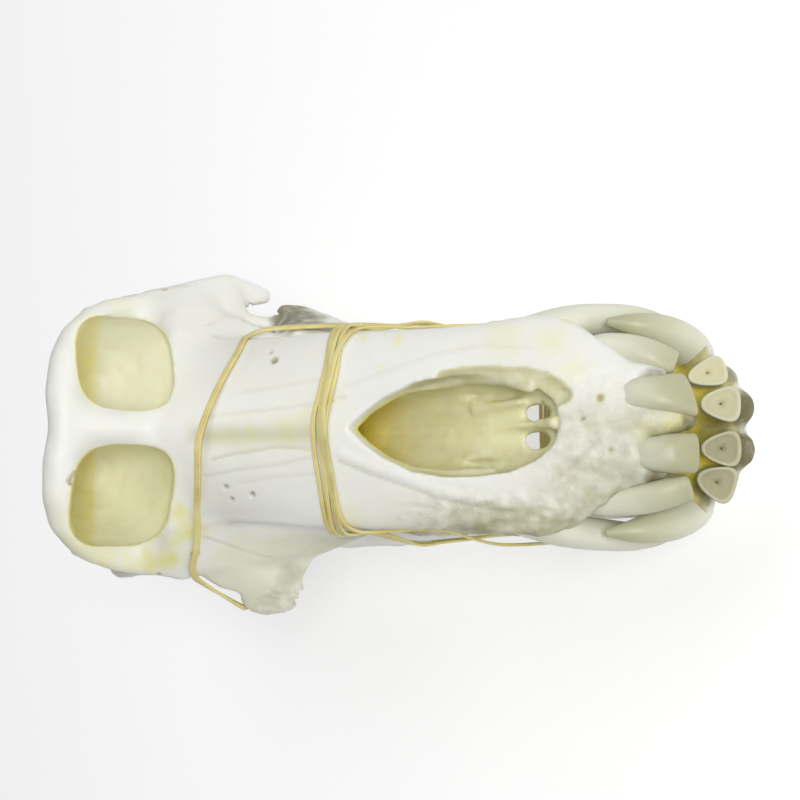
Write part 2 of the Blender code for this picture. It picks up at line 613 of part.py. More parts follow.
def mandible_forms():
    shapes = []
    # Chin, with the swellings over the roots of the middle teeth
    shapes += [
        web(
            (130, 0, -18, 4.6), (126, 10, -17, 5), (126, -10, -17, 5), (118, 0, -37, 6.4),
            (113, 8, -40, 6), (113, -8, -40, 6),
        ),
        web(
            (118, 0, -37, 6.4), (113, 8, -41.5, 6), (113, -8, -41.5, 6), (109, 7, -44, 6),
            (109, -7, -44, 6), (104, 0, -40, 5),
        ),
        web((126, 0, -16, 5), (118, 0, -24, 6), (108, 0, -36, 6), (118, 8, -20, 6), (118, -8, -20, 6)),
    ]
    shapes += pair((136, 5.4, -16.8, 5.4), (129, 5, -14, 4), (120, 5, -34, 5))
    shapes += pair((132, 12.5, -16.5, 4.6), (124, 12, -14, 4), (117, 9, -34, 5))
    shapes += pair((123.5, 19.2, -16, 5.4), (116, 19, -14, 5), (112, 12, -36, 6))
    shapes += pair(
        (126, 10, -17, 5), (119, 17, -17, 5.4), (113, 8, -41, 6), (110, 12, -40, 6.5), (118, 4, -30, 6),
    )
    shapes += pair(
        (119, 17, -16, 5.4), (102, 18.6, -14, 5), (110, 12, -40, 6.5), (96, 16.5, -40, 6),
        (109, 7, -44, 6),
    )
    # Body of the jaw
    stations = [
        (102, 18.6, -14, 5, 16.5, -40, 6), (86, 19.6, -14, 5, 17.2, -39.5, 6),
        (70, 20.2, -14, 5.4, 19, -38, 6.2),
        (54, 21, -14, 5.8, 21.5, -36, 6.4), (38, 22.4, -14, 6, 24.5, -35, 6.2),
        (24, 25, -12, 5.2, 26.5, -36, 5.6),
    ]
    for (xa, ya, za, ra, yb, zb, rb), (xc, yc, zc, rc, yd, zd, rd) in zip(stations, stations[1:]):
        shapes += pair((xa, ya, za, ra), (xa - 4, yb, zb, rb), (xc, yc, zc, rc), (xc - 4, yd, zd, rd))
    # Branch behind the teeth, with the angle that reaches the ground
    shapes += pair(
        (24, 26, -10, 5), (20, 27, -36, 5.6), (14, 29, 4, 3.2), (0, 29, -41, 4.8), (0, 30.5, 0, 3),
    )
    shapes += pair(
        (0, 29, -41, 4.8), (-8, 29.8, -45.2, 4.8), (0, 30.5, 0, 3), (-18, 32, -8, 3),
        (-24, 31.5, -34, 3.8),
    )
    shapes += pair(
        (-8, 29.8, -45.2, 4.8), (-14, 30.2, -45, 4.6), (-24, 31.5, -34, 3.8), (-14, 31.5, -20, 3.2),
    )
    shapes += pair((-18, 32, -8, 3), (-24, 31.5, -34, 3.8), (-33, 33, -22, 3.2), (-33, 34, 6, 3.2))
    shapes += pair(
        (0, 30.5, 0, 3), (-18, 32, -8, 3), (-33, 34, 6, 3.2), (-18, 34, 20, 2.4), (-4, 32.5, 24, 2.3),
    )
    # Front spike and neck with its joint head
    shapes += pair(
        (14, 29, 4, 3.2), (8, 30.5, 12, 2.6), (1, 32, 25, 2.3), (-4, 32.5, 24, 2.3), (0, 30.5, 0, 3),
    )
    shapes += pair((1, 32, 25, 2.3), (-12, 33, 25, 2.2), (-3, 33, 36, 2), (-10, 33.4, 36, 1.8))
    shapes += pair((-3, 33, 36, 2), (-10, 33.4, 36, 1.8), (-6, 33.5, 43.5, 1.7), (-10, 33.8, 42.5, 1.6))
    shapes += pair((-12, 33, 25, 2.2), (-18, 34, 18, 2.4), (-25, 35.6, 27, 2.2), (-16, 33.6, 25, 2))
    shapes += pair((-18, 34, 20, 2.4), (-33, 34, 6, 3.2), (-25, 36, 27, 2.4), (-32, 36, 27, 2.8))
    shapes += pair((-29.5, 29, 33.5, 3), (-29.5, 40.5, 33, 2.8), (-28.5, 35, 26, 3))
    return shapes


def bands(bones):
    """Rubber bands, given by the points where they lie on the bone or span from one part to the next."""
    tree = surface_tree(bones)
    muzzle_path = [
        (58, 0, 56.5), (58.5, 14, 54), (57, 24, 51.5), (55, 28, 47), (53.5, 27.5, 36),
        (52.5, 30.8, 18), (51.5, 30.6, 8),
        (50, 30, -4), (48, 29.2, -20), (46, 28, -36), (45, 22, -43.5), (45, 10, -44), (45, -10, -44),
        (45, -22, -43.5),
        (46, -28, -36), (48, -29.2, -20), (50, -30, -4), (51.5, -30.6, 8), (52.5, -30.8, 18),
        (53.5, -27.5, 36),
        (55, -28, 47), (57, -24, 51.5), (58, -14, 54),
    ]
    brow_path = [
        (29.5, 1.1, 74.5), (31, 8.5, 71.5), (31.5, 16, 67), (32, 21, 63), (34, 26, 57),
        (36.5, 28, 49), (39, 28, 40),
        (40.5, 30.8, 24), (40, 31.2, 8), (38, 30.8, -6), (34, 30.2, -22), (29, 31.2, -36),
        (24, 25, -43.5), (12, 12, -43.5),
        (-8, -10, -43), (-22, -26, -42), (-30, -32, -31), (-35.5, -34, -18), (-37.5, -35, -4),
        (-30, -38, 10),
        (-14, -44, 27), (-3, -50.4, 38.6), (-2, -47.6, 45), (-0.5, -43.4, 53), (3.5, -40.4, 58.8),
        (10.6, -29.5, 62.6),
        (16.5, -22.6, 66.5), (22.2, -16.8, 70.5), (27, -8.9, 74), (28.5, -4, 75),
    ]
    return [
        band("band_muzzle", muzzle_path, THICK_BAND, tree),
        band("band_brow", brow_path, THIN_BAND, tree),
    ]


def surface_tree(objects):
    verts = []
    faces = []
    for obj in objects:
        first = len(verts)
        verts += [v.co / MM for v in obj.data.vertices]
        faces += [tuple(i + first for i in f.vertices) for f in obj.data.polygons]
    return BVHTree.FromPolygons(verts, faces)


def closed_spline(points, count):
    """Evenly spaced points of a smooth closed line through the given ones."""
    pts = [Vector(p) for p in points]
    n = len(pts)
    dense = []
    for i in range(n):
        p0, p1, p2, p3 = pts[i - 1], pts[i], pts[(i + 1) % n], pts[(i + 2) % n]
        for k in range(12):
            t = k / 12
            dense.append(0.5 * (
                2 * p1 + (p2 - p0) * t + (2 * p0 - 5 * p1 + 4 * p2 - p3) * t * t + (3 * p1 - p0 - 3 * p2 + p3) * t ** 3
            ))
    steps = [0.0]
    for a, b in zip(dense, dense[1:] + dense[:1]):
        steps.append(steps[-1] + (b - a).length)
    out = []
    j = 0
    for i in range(count):
        want = steps[-1] * i / count
        while steps[j + 1] < want:
            j += 1
        share = (want - steps[j]) / (steps[j + 1] - steps[j])
        out.append(dense[j].lerp(dense[(j + 1) % len(dense)], share))
    return out


def height(tree, p):
    """How far a point lies outside the bones, negative inside them."""
    hit, normal, _, distance = tree.find_nearest(p)
    return distance if (p - hit).dot(normal) > 0 else -distance


def band(name, path, size, tree):
    """A flat closed band, width and thickness given, laid along the path just clear of the bones."""
    wide = size[0] / 2
    thick = size[1] / 2
    points = closed_spline(path, BAND_STEPS)
    middle = sum(points, Vector()) / BAND_STEPS
    for _ in range(6):
        moved = []
        outward = []
        for i, p in enumerate(points):
            p = p.lerp((points[i - 1] + points[(i + 1) % BAND_STEPS]) / 2, 0.2)
            hit, normal, _, distance = tree.find_nearest(p)
            if (p - hit).dot(normal) < 0:
                p = hit + normal * (thick + BAND_GAP)
            elif distance < thick + BAND_GAP:
                p = hit + (p - hit).normalized() * (thick + BAND_GAP)
            p.z = max(p.z, FLOOR_Z + thick + BAND_GAP)
            moved.append(p)
            outward.append(normal.copy() if distance < 3 else (p - middle).normalized())
        points = moved
    for _ in range(6):
        after = outward[1:] + outward[:1]
        before = outward[-1:] + outward[:-1]
        outward = [(a + b * 2 + c).normalized() for a, b, c in zip(before, outward, after)]
    section = [(1, 0.35), (0.75, 1), (-0.75, 1), (-1, 0.35), (-1, -0.35), (-0.75, -1), (0.75, -1), (1, -0.35)]
    frames = []
    for i in range(BAND_STEPS):
        along = (points[(i + 1) % BAND_STEPS] - points[i - 1]).normalized()
        across = along.cross(outward[i]).normalized()
        frames.append((across, across.cross(along)))
    for _ in range(8):
        rings = []
        for p, (across, out) in zip(points, frames):
            rings.append([p + across * wide * a + out * thick * b for a, b in section])
        lacks = [0.0] * BAND_STEPS
        for i in range(BAND_STEPS):
            n = (i + 1) % BAND_STEPS
            for share in (0, 0.33, 0.67):
                lack = max(BAND_GAP - height(tree, q.lerp(r, share)) for q, r in zip(rings[i], rings[n]))
                lacks[i] = max(lacks[i], lack)
                if share:
                    lacks[n] = max(lacks[n], lack)
        points = [p + out * lack for p, (_, out), lack in zip(points, frames, lacks)]
    verts = [tuple(q) for ring in rings for q in ring]
    faces = []
    for i in range(BAND_STEPS):
        for j in range(8):
            k = (j + 1) % 8
            n = (i + 1) % BAND_STEPS
            faces.append((i * 8 + j, i * 8 + k, n * 8 + k, n * 8 + j))
    obj = mesh_object(name, verts, faces)
    bm = bmesh.new()
    bm.from_mesh(obj.data)
    bmesh.ops.recalc_face_normals(bm, faces=bm.faces)
    bm.to_mesh(obj.data)
    bm.free()
    return obj


def material(name, colour, roughness):
    made = bpy.data.materials.new(name)
    made.use_nodes = True
    shader = made.node_tree.nodes["Principled BSDF"]
    shader.inputs["Base Color"].default_value = (*colour, 1)
    shader.inputs["Roughness"].default_value = roughness
    return made


def dress(obj, made):
    obj.data.materials.clear()
    obj.data.materials.append(made)


def main():
    for obj in list(bpy.data.objects):
        bpy.data.objects.remove(obj)
    cranium = joined("cranium", [muzzle(), braincase()] + face() + base() + cheeks())
    fuse(cranium, VOXEL, 6)
    cutters = [mesh_object("cutter", *shape) for shape in cranium_cutters()]
    combine(cranium, cutters, "DIFFERENCE")
    fuse(cranium, VOXEL, 2)
    thin_out(cranium, CRANIUM_TRIANGLES)
    combine(cranium, [mesh_object("tooth", *shape) for shape in upper_teeth()], "UNION")
    mandible = joined("mandible", mandible_forms())
    fuse(mandible, VOXEL, 6)
    thin_out(mandible, MANDIBLE_TRIANGLES)
    combine(mandible, [mesh_object("tooth", *shape) for shape in lower_teeth()], "UNION")
    lean(cranium, CRANIUM_LEAN)
    lean(mandible, MANDIBLE_LEAN)
    rings = bands([cranium, mandible])
    bone = material("bone", (0.86, 0.82, 0.70), 0.5)
    rubber = material("band_rubber", (0.72, 0.55, 0.28), 0.6)
    for obj in (cranium, mandible):
        dress(obj, bone)
    for obj in rings:
        dress(obj, rubber)
    return stand([cranium, mandible] + rings)


def stand(objects):
    """Moves the whole so that the middle of its base is the origin."""
    points = np.array([tuple(v.co) for obj in objects for v in obj.data.vertices])
    low = points.min(axis=0)
    high = points.max(axis=0)
    shift = Vector((-(low[0] + high[0]) / 2, -(low[1] + high[1]) / 2, -low[2]))
    for obj in objects:
        obj.data.transform(Matrix.Translation(shift))
        obj.data.update()
    return shift


PLACED = main()
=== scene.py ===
"""Looks of an old male baboon's skull with its lower jaw, held together by two rubber bands.

The bones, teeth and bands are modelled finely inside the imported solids. Points are in millimetres
in the skull's own frame, as in the part's source: x forward along the biting plane, y to its left,
z up from the biting plane. PLACED moves them to the shared frame.
"""

import math

import bmesh
import bpy
import numpy as np
from mathutils import Matrix, Vector
from mathutils.bvhtree import BVHTree


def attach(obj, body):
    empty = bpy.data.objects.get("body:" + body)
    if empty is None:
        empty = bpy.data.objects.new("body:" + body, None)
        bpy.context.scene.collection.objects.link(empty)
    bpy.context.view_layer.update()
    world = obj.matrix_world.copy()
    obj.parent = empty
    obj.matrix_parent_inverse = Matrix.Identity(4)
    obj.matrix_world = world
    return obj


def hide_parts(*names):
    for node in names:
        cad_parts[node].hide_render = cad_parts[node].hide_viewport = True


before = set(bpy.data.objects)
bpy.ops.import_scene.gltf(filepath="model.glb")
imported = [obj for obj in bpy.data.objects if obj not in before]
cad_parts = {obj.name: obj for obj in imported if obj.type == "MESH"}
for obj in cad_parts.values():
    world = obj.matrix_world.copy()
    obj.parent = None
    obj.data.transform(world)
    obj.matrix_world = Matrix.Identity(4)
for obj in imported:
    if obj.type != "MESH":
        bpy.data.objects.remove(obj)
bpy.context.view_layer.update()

MM = 0.001

# Where the skull's own frame stands in the shared one
PLACED = Vector((-20.611, 3.493, 49.708))

# Main sizes
FLOOR_Z = -50.0
CRANIUM_LEAN = 1.5
MANDIBLE_LEAN = 0.8
LEAN_FROM = 60
LEAN_OVER = 60
VOXEL = 1.25
FINE = 0.7
BAND_GAP = 0.15
STRIP_THICK = 0.8
TOOTH_SIDES = 44
TOOTH_STEPS = 9
GRINDER_SIDES = 64
BAND_STEPS = 240

# Direction in which the face looks, as its shares along x and z
FACING_X = 0.743
FACING_Z = 0.669

# The nose opening: how fast its rim falls, and the x from which it does
RIM_SLOPE = 0.624
RIM_START = 64

# Eye sockets: side, centre from the midline, width and height, the right one a little larger
ORBITS = [(1, 18.15, 27.3, 27.1), (-1, 18.7, 29.0, 28.4)]

# Muzzle sections: x at the top, x at the bottom, then eleven (y, z) points of the left half
MUZZLE = [
    (-14, 24, [(0, 85), (9, 82), (20, 74), (29, 66), (32, 60), (30, 47), (25, 30), (22, 18),
        (16, 16), (10, 24), (0, 26)]),
    (3, 32, [(0, 88), (8, 84), (17, 72), (24, 64), (27, 59), (25, 44), (27, 22), (26, 10.5),
        (17.5, 10), (11, 19), (0, 21)]),
    (16, 42, [(0, 81.5), (7, 79), (17, 69), (24, 61.5), (26.5, 57), (23.5, 42), (30, 18),
        (27.5, 9.5), (17.5, 9.2), (12, 14.5), (0, 16)]),
    (32, 54, [(0, 70.5), (7, 69), (17, 63.5), (24.5, 57.5), (27, 53), (22.5, 38), (30, 16),
        (27.5, 9), (17.5, 9), (12.5, 14), (0, 15.5)]),
    (48, 66, [(0, 60.8), (8, 60), (18, 56), (25, 52.5), (27.5, 48), (22.5, 34), (29.8, 15.5),
        (27.5, 9), (17, 9), (12.5, 13.5), (0, 15)]),
    (62, 78, [(0, 52.8), (8, 52), (18, 49), (25.3, 46.2), (27.6, 42), (22.5, 30), (28.8, 15),
        (26.8, 9), (17, 9), (12.5, 13), (0, 14.5)]),
    (76, 88, [(0, 45.5), (10, 44.5), (18.5, 41.8), (25.2, 39.2), (27.3, 35.5), (23.5, 27),
        (28.6, 15), (26.5, 9.5), (17, 9.5), (12, 13), (0, 14)]),
    (90, 97, [(0, 37.6), (12, 35.8), (19, 33.6), (25, 32), (27.6, 28.5), (26, 23), (29.4, 15.5),
        (26.5, 10), (17, 10), (11, 12.5), (0, 13)]),
    (101, 105, [(0, 29.8), (11, 28.9), (19, 27.4), (26.5, 26.2), (30, 22.5), (30, 18), (30.2, 14),
        (27, 10), (16.5, 10), (9, 12), (0, 13)]),
    (112, 114, [(0, 21.9), (8, 21.9), (15, 21), (20.5, 19.4), (23.6, 16.6), (23.4, 14.5),
        (22.4, 13), (20.5, 11.6), (14, 10.6), (7, 10.6), (0, 11)]),
    (121, 120.5, [(0, 14.6), (6, 14.8), (11.5, 14), (16, 12.6), (18.8, 11), (19.2, 9.6),
        (18.4, 8.6), (16, 8), (11, 7.6), (6, 7.6), (0, 8)]),
    (127, 124, [(0, 8.6), (4, 9.2), (7.5, 9), (10, 8.4), (11.6, 7.8), (11.8, 7.2), (11.2, 6.7),
        (9.6, 6.4), (7, 6.2), (4, 6.2), (0, 6.4)]),
]

# Braincase sections across its own axis: top x, top z, half height, half width
BRAINCASE = [
    (-8, 91, 17, 21),
    (-24, 88, 24, 26),
    (-40, 80.5, 29, 34),
    (-58, 70.5, 31, 40),
    (-75, 59.5, 29, 41.5),
    (-88, 47, 22, 37),
    (-95, 35, 13.5, 27),
    (-97.5, 29.5, 7, 16),
]
DOWN = Vector((0.4067, 0.0, -0.9135))


def ball_points():
    bm = bmesh.new()
    bmesh.ops.create_icosphere(bm, subdivisions=2, radius=1.0)
    points = np.array([tuple(v.co) for v in bm.verts])
    bm.free()
    return points


BALL = ball_points()


def web(*points):
    """The smallest convex shape round balls, each given as (x, y, z, radius)."""
    bm = bmesh.new()
    for x, y, z, r in points:
        for offset in BALL * r:
            bm.verts.new((x + offset[0], y + offset[1], z + offset[2]))
    bm.verts.ensure_lookup_table()
    bmesh.ops.convex_hull(bm, input=list(bm.verts))
    loose = [v for v in bm.verts if not v.link_faces]
    bmesh.ops.delete(bm, geom=loose, context="VERTS")
    bm.verts.index_update()
    verts = [tuple(v.co) for v in bm.verts]
    faces = [tuple(v.index for v in f.verts) for f in bm.faces]
    bm.free()
    return verts, faces


def flip(shape):
    """The same shape on the other side of the skull."""
    verts, faces = shape
    return [(x, -y, z) for x, y, z in verts], [tuple(reversed(f)) for f in faces]


def both(shapes):
    """The shapes, followed by their mirror images."""
    return shapes + [flip(shape) for shape in shapes]


def pair(*points):
    return both([web(*points)])


def chain(points):
    """A rod through balls, as one web for each step."""
    return [web(a, b) for a, b in zip(points, points[1:])]


def pair_chain(points):
    return both(chain(points))


def shape_of(obj):
    """The points of an object in millimetres, and its faces."""
    return [tuple(v.co / MM) for v in obj.data.vertices], [tuple(f.vertices) for f in obj.data.polygons]


def loft(rings, levels=0):
    """A closed skin over rings of equally many points, rounded by subdivision."""
    count = len(rings[0])
    verts = [tuple(p) for ring in rings for p in ring]
    faces = []
    for i in range(len(rings) - 1):
        for j in range(count):
            k = (j + 1) % count
            faces.append((i * count + j, i * count + k, (i + 1) * count + k, (i + 1) * count + j))
    faces.append(tuple(reversed(range(count))))
    last = (len(rings) - 1) * count
    faces.append(tuple(range(last, last + count)))
    if levels:
        obj = mesh_object("loft", verts, faces)
        rounded = obj.modifiers.new("rounded", "SUBSURF")
        rounded.levels = levels
        apply_modifiers(obj)
        verts, faces = shape_of(obj)
        bpy.data.objects.remove(obj)
    return facing_out(verts, faces)


def facing_out(verts, faces):
    """The shape with its faces turned so that it encloses a positive volume."""
    volume = 0.0
    for face in faces:
        a = Vector(verts[face[0]])
        for j in range(1, len(face) - 1):
            volume += a.dot(Vector(verts[face[j]]).cross(Vector(verts[face[j + 1]])))
    if volume < 0:
        faces = [tuple(reversed(f)) for f in faces]
    return verts, faces


def mesh_object(name, verts, faces):
    mesh = bpy.data.meshes.new(name)
    mesh.from_pydata([(x * MM, y * MM, z * MM) for x, y, z in verts], [], faces)
    mesh.update()
    obj = bpy.data.objects.new(name, mesh)
    bpy.context.scene.collection.objects.link(obj)
    return obj


def merged(shapes):
    """Several shapes as one list of points and one of faces."""
    verts = []
    faces = []
    for points, polygons in shapes:
        first = len(verts)
        verts += points
        faces += [tuple(i + first for i in f) for f in polygons]
    return verts, faces


def joined(name, shapes):
    return mesh_object(name, *merged(shapes))


def apply_modifiers(obj):
    bpy.context.view_layer.update()
    graph = bpy.context.evaluated_depsgraph_get()
    mesh = bpy.data.meshes.new_from_object(obj.evaluated_get(graph))
    obj.modifiers.clear()
    old = obj.data
    obj.data = mesh
    bpy.data.meshes.remove(old)


def keep_largest(obj):
    """Drops every closed surface but the one with the largest box round it."""
    bm = bmesh.new()
    bm.from_mesh(obj.data)
    left = set(bm.verts)
    islands = []
    while left:
        stack = [left.pop()]
        island = set(stack)
        while stack:
            near = {v for edge in stack.pop().link_edges for v in edge.verts} - island
            island |= near
            stack += near
        left -= island
        islands.append(island)
    if len(islands) > 1:
        boxes = [np.ptp([tuple(v.co) for v in island], axis=0) for island in islands]
        keep = islands[int(np.argmax([np.prod(box) for box in boxes]))]
        bmesh.ops.delete(bm, geom=[v for v in bm.verts if v not in keep], context="VERTS")
        bm.to_mesh(obj.data)
    bm.free()


def fuse(obj, voxel, smooth_steps):
    """One skin over overlapping shapes."""
    remesh = obj.modifiers.new("skin", "REMESH")
    remesh.mode = "VOXEL"
    remesh.voxel_size = voxel * MM
    smooth = obj.modifiers.new("smooth", "SMOOTH")
    smooth.factor = 0.5
    smooth.iterations = smooth_steps
    apply_modifiers(obj)
    keep_largest(obj)


def cut(obj, others):
    """Cuts the others from the object and removes them. One that only grazes its skin is left out."""
    for other in others:
        before = obj.data.copy()
        modifier = obj.modifiers.new("cut", "BOOLEAN")
        modifier.operation = "DIFFERENCE"
        modifier.solver = "EXACT"
        modifier.object = other
        apply_modifiers(obj)
        bpy.data.objects.remove(other)
        if len(obj.data.vertices) < len(before.vertices) / 2:
            obj.data = before
    keep_largest(obj)


def lean(obj, amount):
    """Moves the front of a jaw a little to the left."""
    for v in obj.data.vertices:
        share = min(max((v.co.x / MM - LEAN_FROM) / LEAN_OVER, 0.0), 1.0)
        v.co.y += amount * MM * share * share * (3 - 2 * share)
    obj.data.update()


def corners(angle, power, sine_power=None):
    """Cosine and sine of an angle, raised to powers: below 1 they make a circle squarer."""
    c = math.cos(angle)
    s = math.sin(angle)
    return math.copysign(abs(c) ** power, c), math.copysign(abs(s) ** (sine_power or power), s)


def muzzle():
    rings = []
    for x_top, x_bottom, half in MUZZLE:
        z_top = half[0][1]
        z_bottom = min(z for _, z in half)
        ring = []
        for y, z in half:
            share = (z_top - z) / (z_top - z_bottom)
            ring.append((x_top + (x_bottom - x_top) * share, y, z))
        ring += [(x, -y, z) for x, y, z in reversed(ring[1:-1])]
        rings.append(ring)
    return loft(rings, levels=2)


def braincase():
    rings = []
    for x, z, half_height, half_width in BRAINCASE:
        centre = Vector((x, 0, z)) + DOWN * half_height
        ring = []
        for i in range(16):
            across, along = corners(2 * math.pi * i / 16, 0.85, 0.9)
            width = half_width * (1 - 0.28 * max(0.0, -along))
            ring.append(tuple(centre + Vector((0, width * across, 0)) - DOWN * half_height * along))
        rings.append(ring)
    return loft(rings, levels=2)


def face():
    shapes = []
    # Bone between the front teeth
    shapes += [web((118, 0.2, 11, 4.8), (127, 0.5, 7, 4.4), (131.4, 0.6, 4, 3.6), (134.6, 0.6, 0.4, 2.4))]
    shapes += pair((116, 14, 10, 4), (124, 13, 7.4, 2.8), (129.4, 12.4, 4.6, 2.1))
    shapes += [web((124.6, -10, 9.6, 3.3), (124.6, -4.8, 9.8, 3.3), (114, -7, 13, 5))]
    shapes += [web((120, 10, 10, 2.9), (120, 5.6, 10, 2.9), (112, 7, 14, 5))]
    shapes += chain([
        (104.5, 24.5, 14.8, 4), (109.9, 21, 13.9, 4), (114.1, 17.5, 13, 4), (117.7, 14.4, 10.5, 4),
        (121.6, 11.8, 8.3, 3.6),
    ])
    shapes += chain([
        (104, -24, 16, 4.4), (110, -21, 13.9, 4.2), (114.6, -17.5, 12.4, 4), (119.5, -12.5, 10.6, 3.4),
    ])
    # Brow ridge and outer pillar of each orbit, a little uneven
    left = [
        (2, 0, 99.5, 5.2), (1, 10, 100.3, 5.1), (0, 18, 99, 4.8), (-2, 24.3, 95.5, 4.4),
        (-5, 29.7, 88.5, 4.2),
        (-7.5, 32.9, 81.5, 4.2), (-8, 34.5, 74, 4.2), (-6.5, 36.3, 66.8, 4.3), (-2, 37.6, 61, 4.6),
    ]
    right = [
        (2, 0, 99.5, 5.2), (1, -10, 100.5, 5.2), (0, -18.5, 100, 5), (-2, -25.6, 97.3, 4.4),
        (-4.5, -29.9, 92, 4.3),
        (-7.5, -33.6, 85, 4.3), (-8, -36.2, 76, 4.3), (-6.5, -37.4, 68, 4.4), (-2, -37.4, 61, 4.6),
    ]
    shapes += chain(left) + chain(right)
    # Lower rim of each orbit
    shapes += pair_chain([
        (-2, 37, 61, 4.6), (4, 31, 65.5, 4.2), (8.5, 25.5, 69, 4), (11.5, 18, 72, 4),
        (12.5, 10.5, 75.5, 4), (10.5, 4, 79, 4.6),
    ])
    shapes += pair((-2, 37, 61, 4.6), (4, 31, 65, 4.4), (0, 33, 57, 5), (8, 26, 68, 4))
    shapes += pair((-6, 36.8, 68, 4.3), (4, 31, 65.5, 4.4), (-2, 39, 58, 4.2), (6, 31, 57, 4.6))
    shapes += pair((8, 26, 68, 4), (11.5, 18, 71.5, 4), (12, 20, 61, 5), (2, 30, 58, 5))
    shapes += pair((0.6, 33.4, 66.4, 3.2), (5.8, 29.8, 68, 3.2), (9.6, 25.8, 69.6, 3.2), (0, 31, 62, 4))
    shapes += pair((11.5, 18, 71.5, 4), (12, 9, 76, 4), (15, 13, 68, 4.5), (11, 4, 78, 5))
    # Pillar between the orbits
    shapes += [web((2, 0, 96, 6), (5, 0, 87, 4.4), (11, 0, 79, 5), (-20, 0, 82, 6), (-20, 0, 72, 6))]
    shapes += pair((11, 0, 79, 5), (12, 7, 73, 4.5), (-20, 4, 72, 5))
    # Mass behind the orbits
    shapes += pair((-3, 2, 95, 5), (-3, 21, 94, 4.2), (-24, 3, 82, 6), (-24, 18, 79, 6))
    shapes += pair((-3, 21, 94, 4.2), (-9.5, 29, 86.5, 4.2), (-24, 18, 79, 6), (-24, 24, 74, 5))
    shapes += pair((-3, 2, 95, 5), (-9, 29, 86, 4), (-34, 12, 75, 6), (-34, 21, 70, 5), (-30, 2, 79, 6))
    shapes += pair((-9, 29, 86, 4), (-11, 32.5, 74, 4), (-32, 22, 72, 5), (-34, 16, 66, 6), (-30, 6, 78, 6))
    shapes += pair(
        (-11, 32.5, 74, 4), (-5, 33, 62, 4), (4, 25, 63, 4), (-26, 18, 60, 5), (-34, 16, 66, 6),
        (-20, 8, 58, 6),
    )
    shapes += pair((4, 25, 63, 4), (11, 9, 70, 4), (-26, 18, 60, 5), (-20, 6, 56, 6))
    return shapes


def base():
    shapes = []
    # Floor of the braincase, and the plates behind the palate
    shapes += [web((0, 0, 40, 8), (-20, 0, 28, 8), (-43, 0, 17, 6), (-20, 10, 34, 8), (-20, -10, 34, 8))]
    shapes += pair((28, 13, 24, 4), (30, 17, 13, 4), (8, 14, 40, 5), (2, 12, 24, 2.2))
    shapes += pair((2, 12, 24, 2.2), (-4, 12, 14, 2), (4, 12, 14, 2), (-2, 13, 40, 4), (-14, 14, 34, 4))
    shapes += pair((-4, 15, 30, 3), (-10, 18, 20, 1.8), (2, 17, 24, 1.8), (-18, 20, 38, 4))
    # Jaw socket, root of the cheek arch and its broken stump
    shapes += pair((-18, 28, 49, 5), (-40, 28, 45, 5), (-20, 40, 47, 3.4), (-38, 40, 45, 3.4))
    shapes += pair((-20, 40, 48, 3), (-36, 40, 46, 3), (-13, 40.5, 48.5, 2.6), (-17, 41, 47, 2.6))
    shapes += pair((-41, 32, 40, 3.2), (-41, 40, 40, 3.2), (-40, 35, 35, 2.6))
    # Ear tube, mastoid and crest from ear to ear
    shapes += pair((-48, 40, 39, 3.6), (-44, 22, 25, 4.4), (-53, 33, 32, 6))
    shapes += pair((-58, 36, 33, 8), (-60, 35, 24, 5), (-70, 34, 30, 7))
    shapes += pair_chain([
        (-38, 40.5, 46, 3), (-50, 42, 45, 3.2), (-64, 43, 40, 3.4), (-78, 39.5, 35, 3.2),
        (-89, 30, 32.5, 3),
        (-96, 16, 32, 2.8), (-99, 0, 32, 2.8),
    ])
    # Joints for the neck
    shapes += pair((-46, 8, 8.5, 4), (-55, 11, 4.5, 4.4), (-60, 12, 9, 4.5))
    return shapes


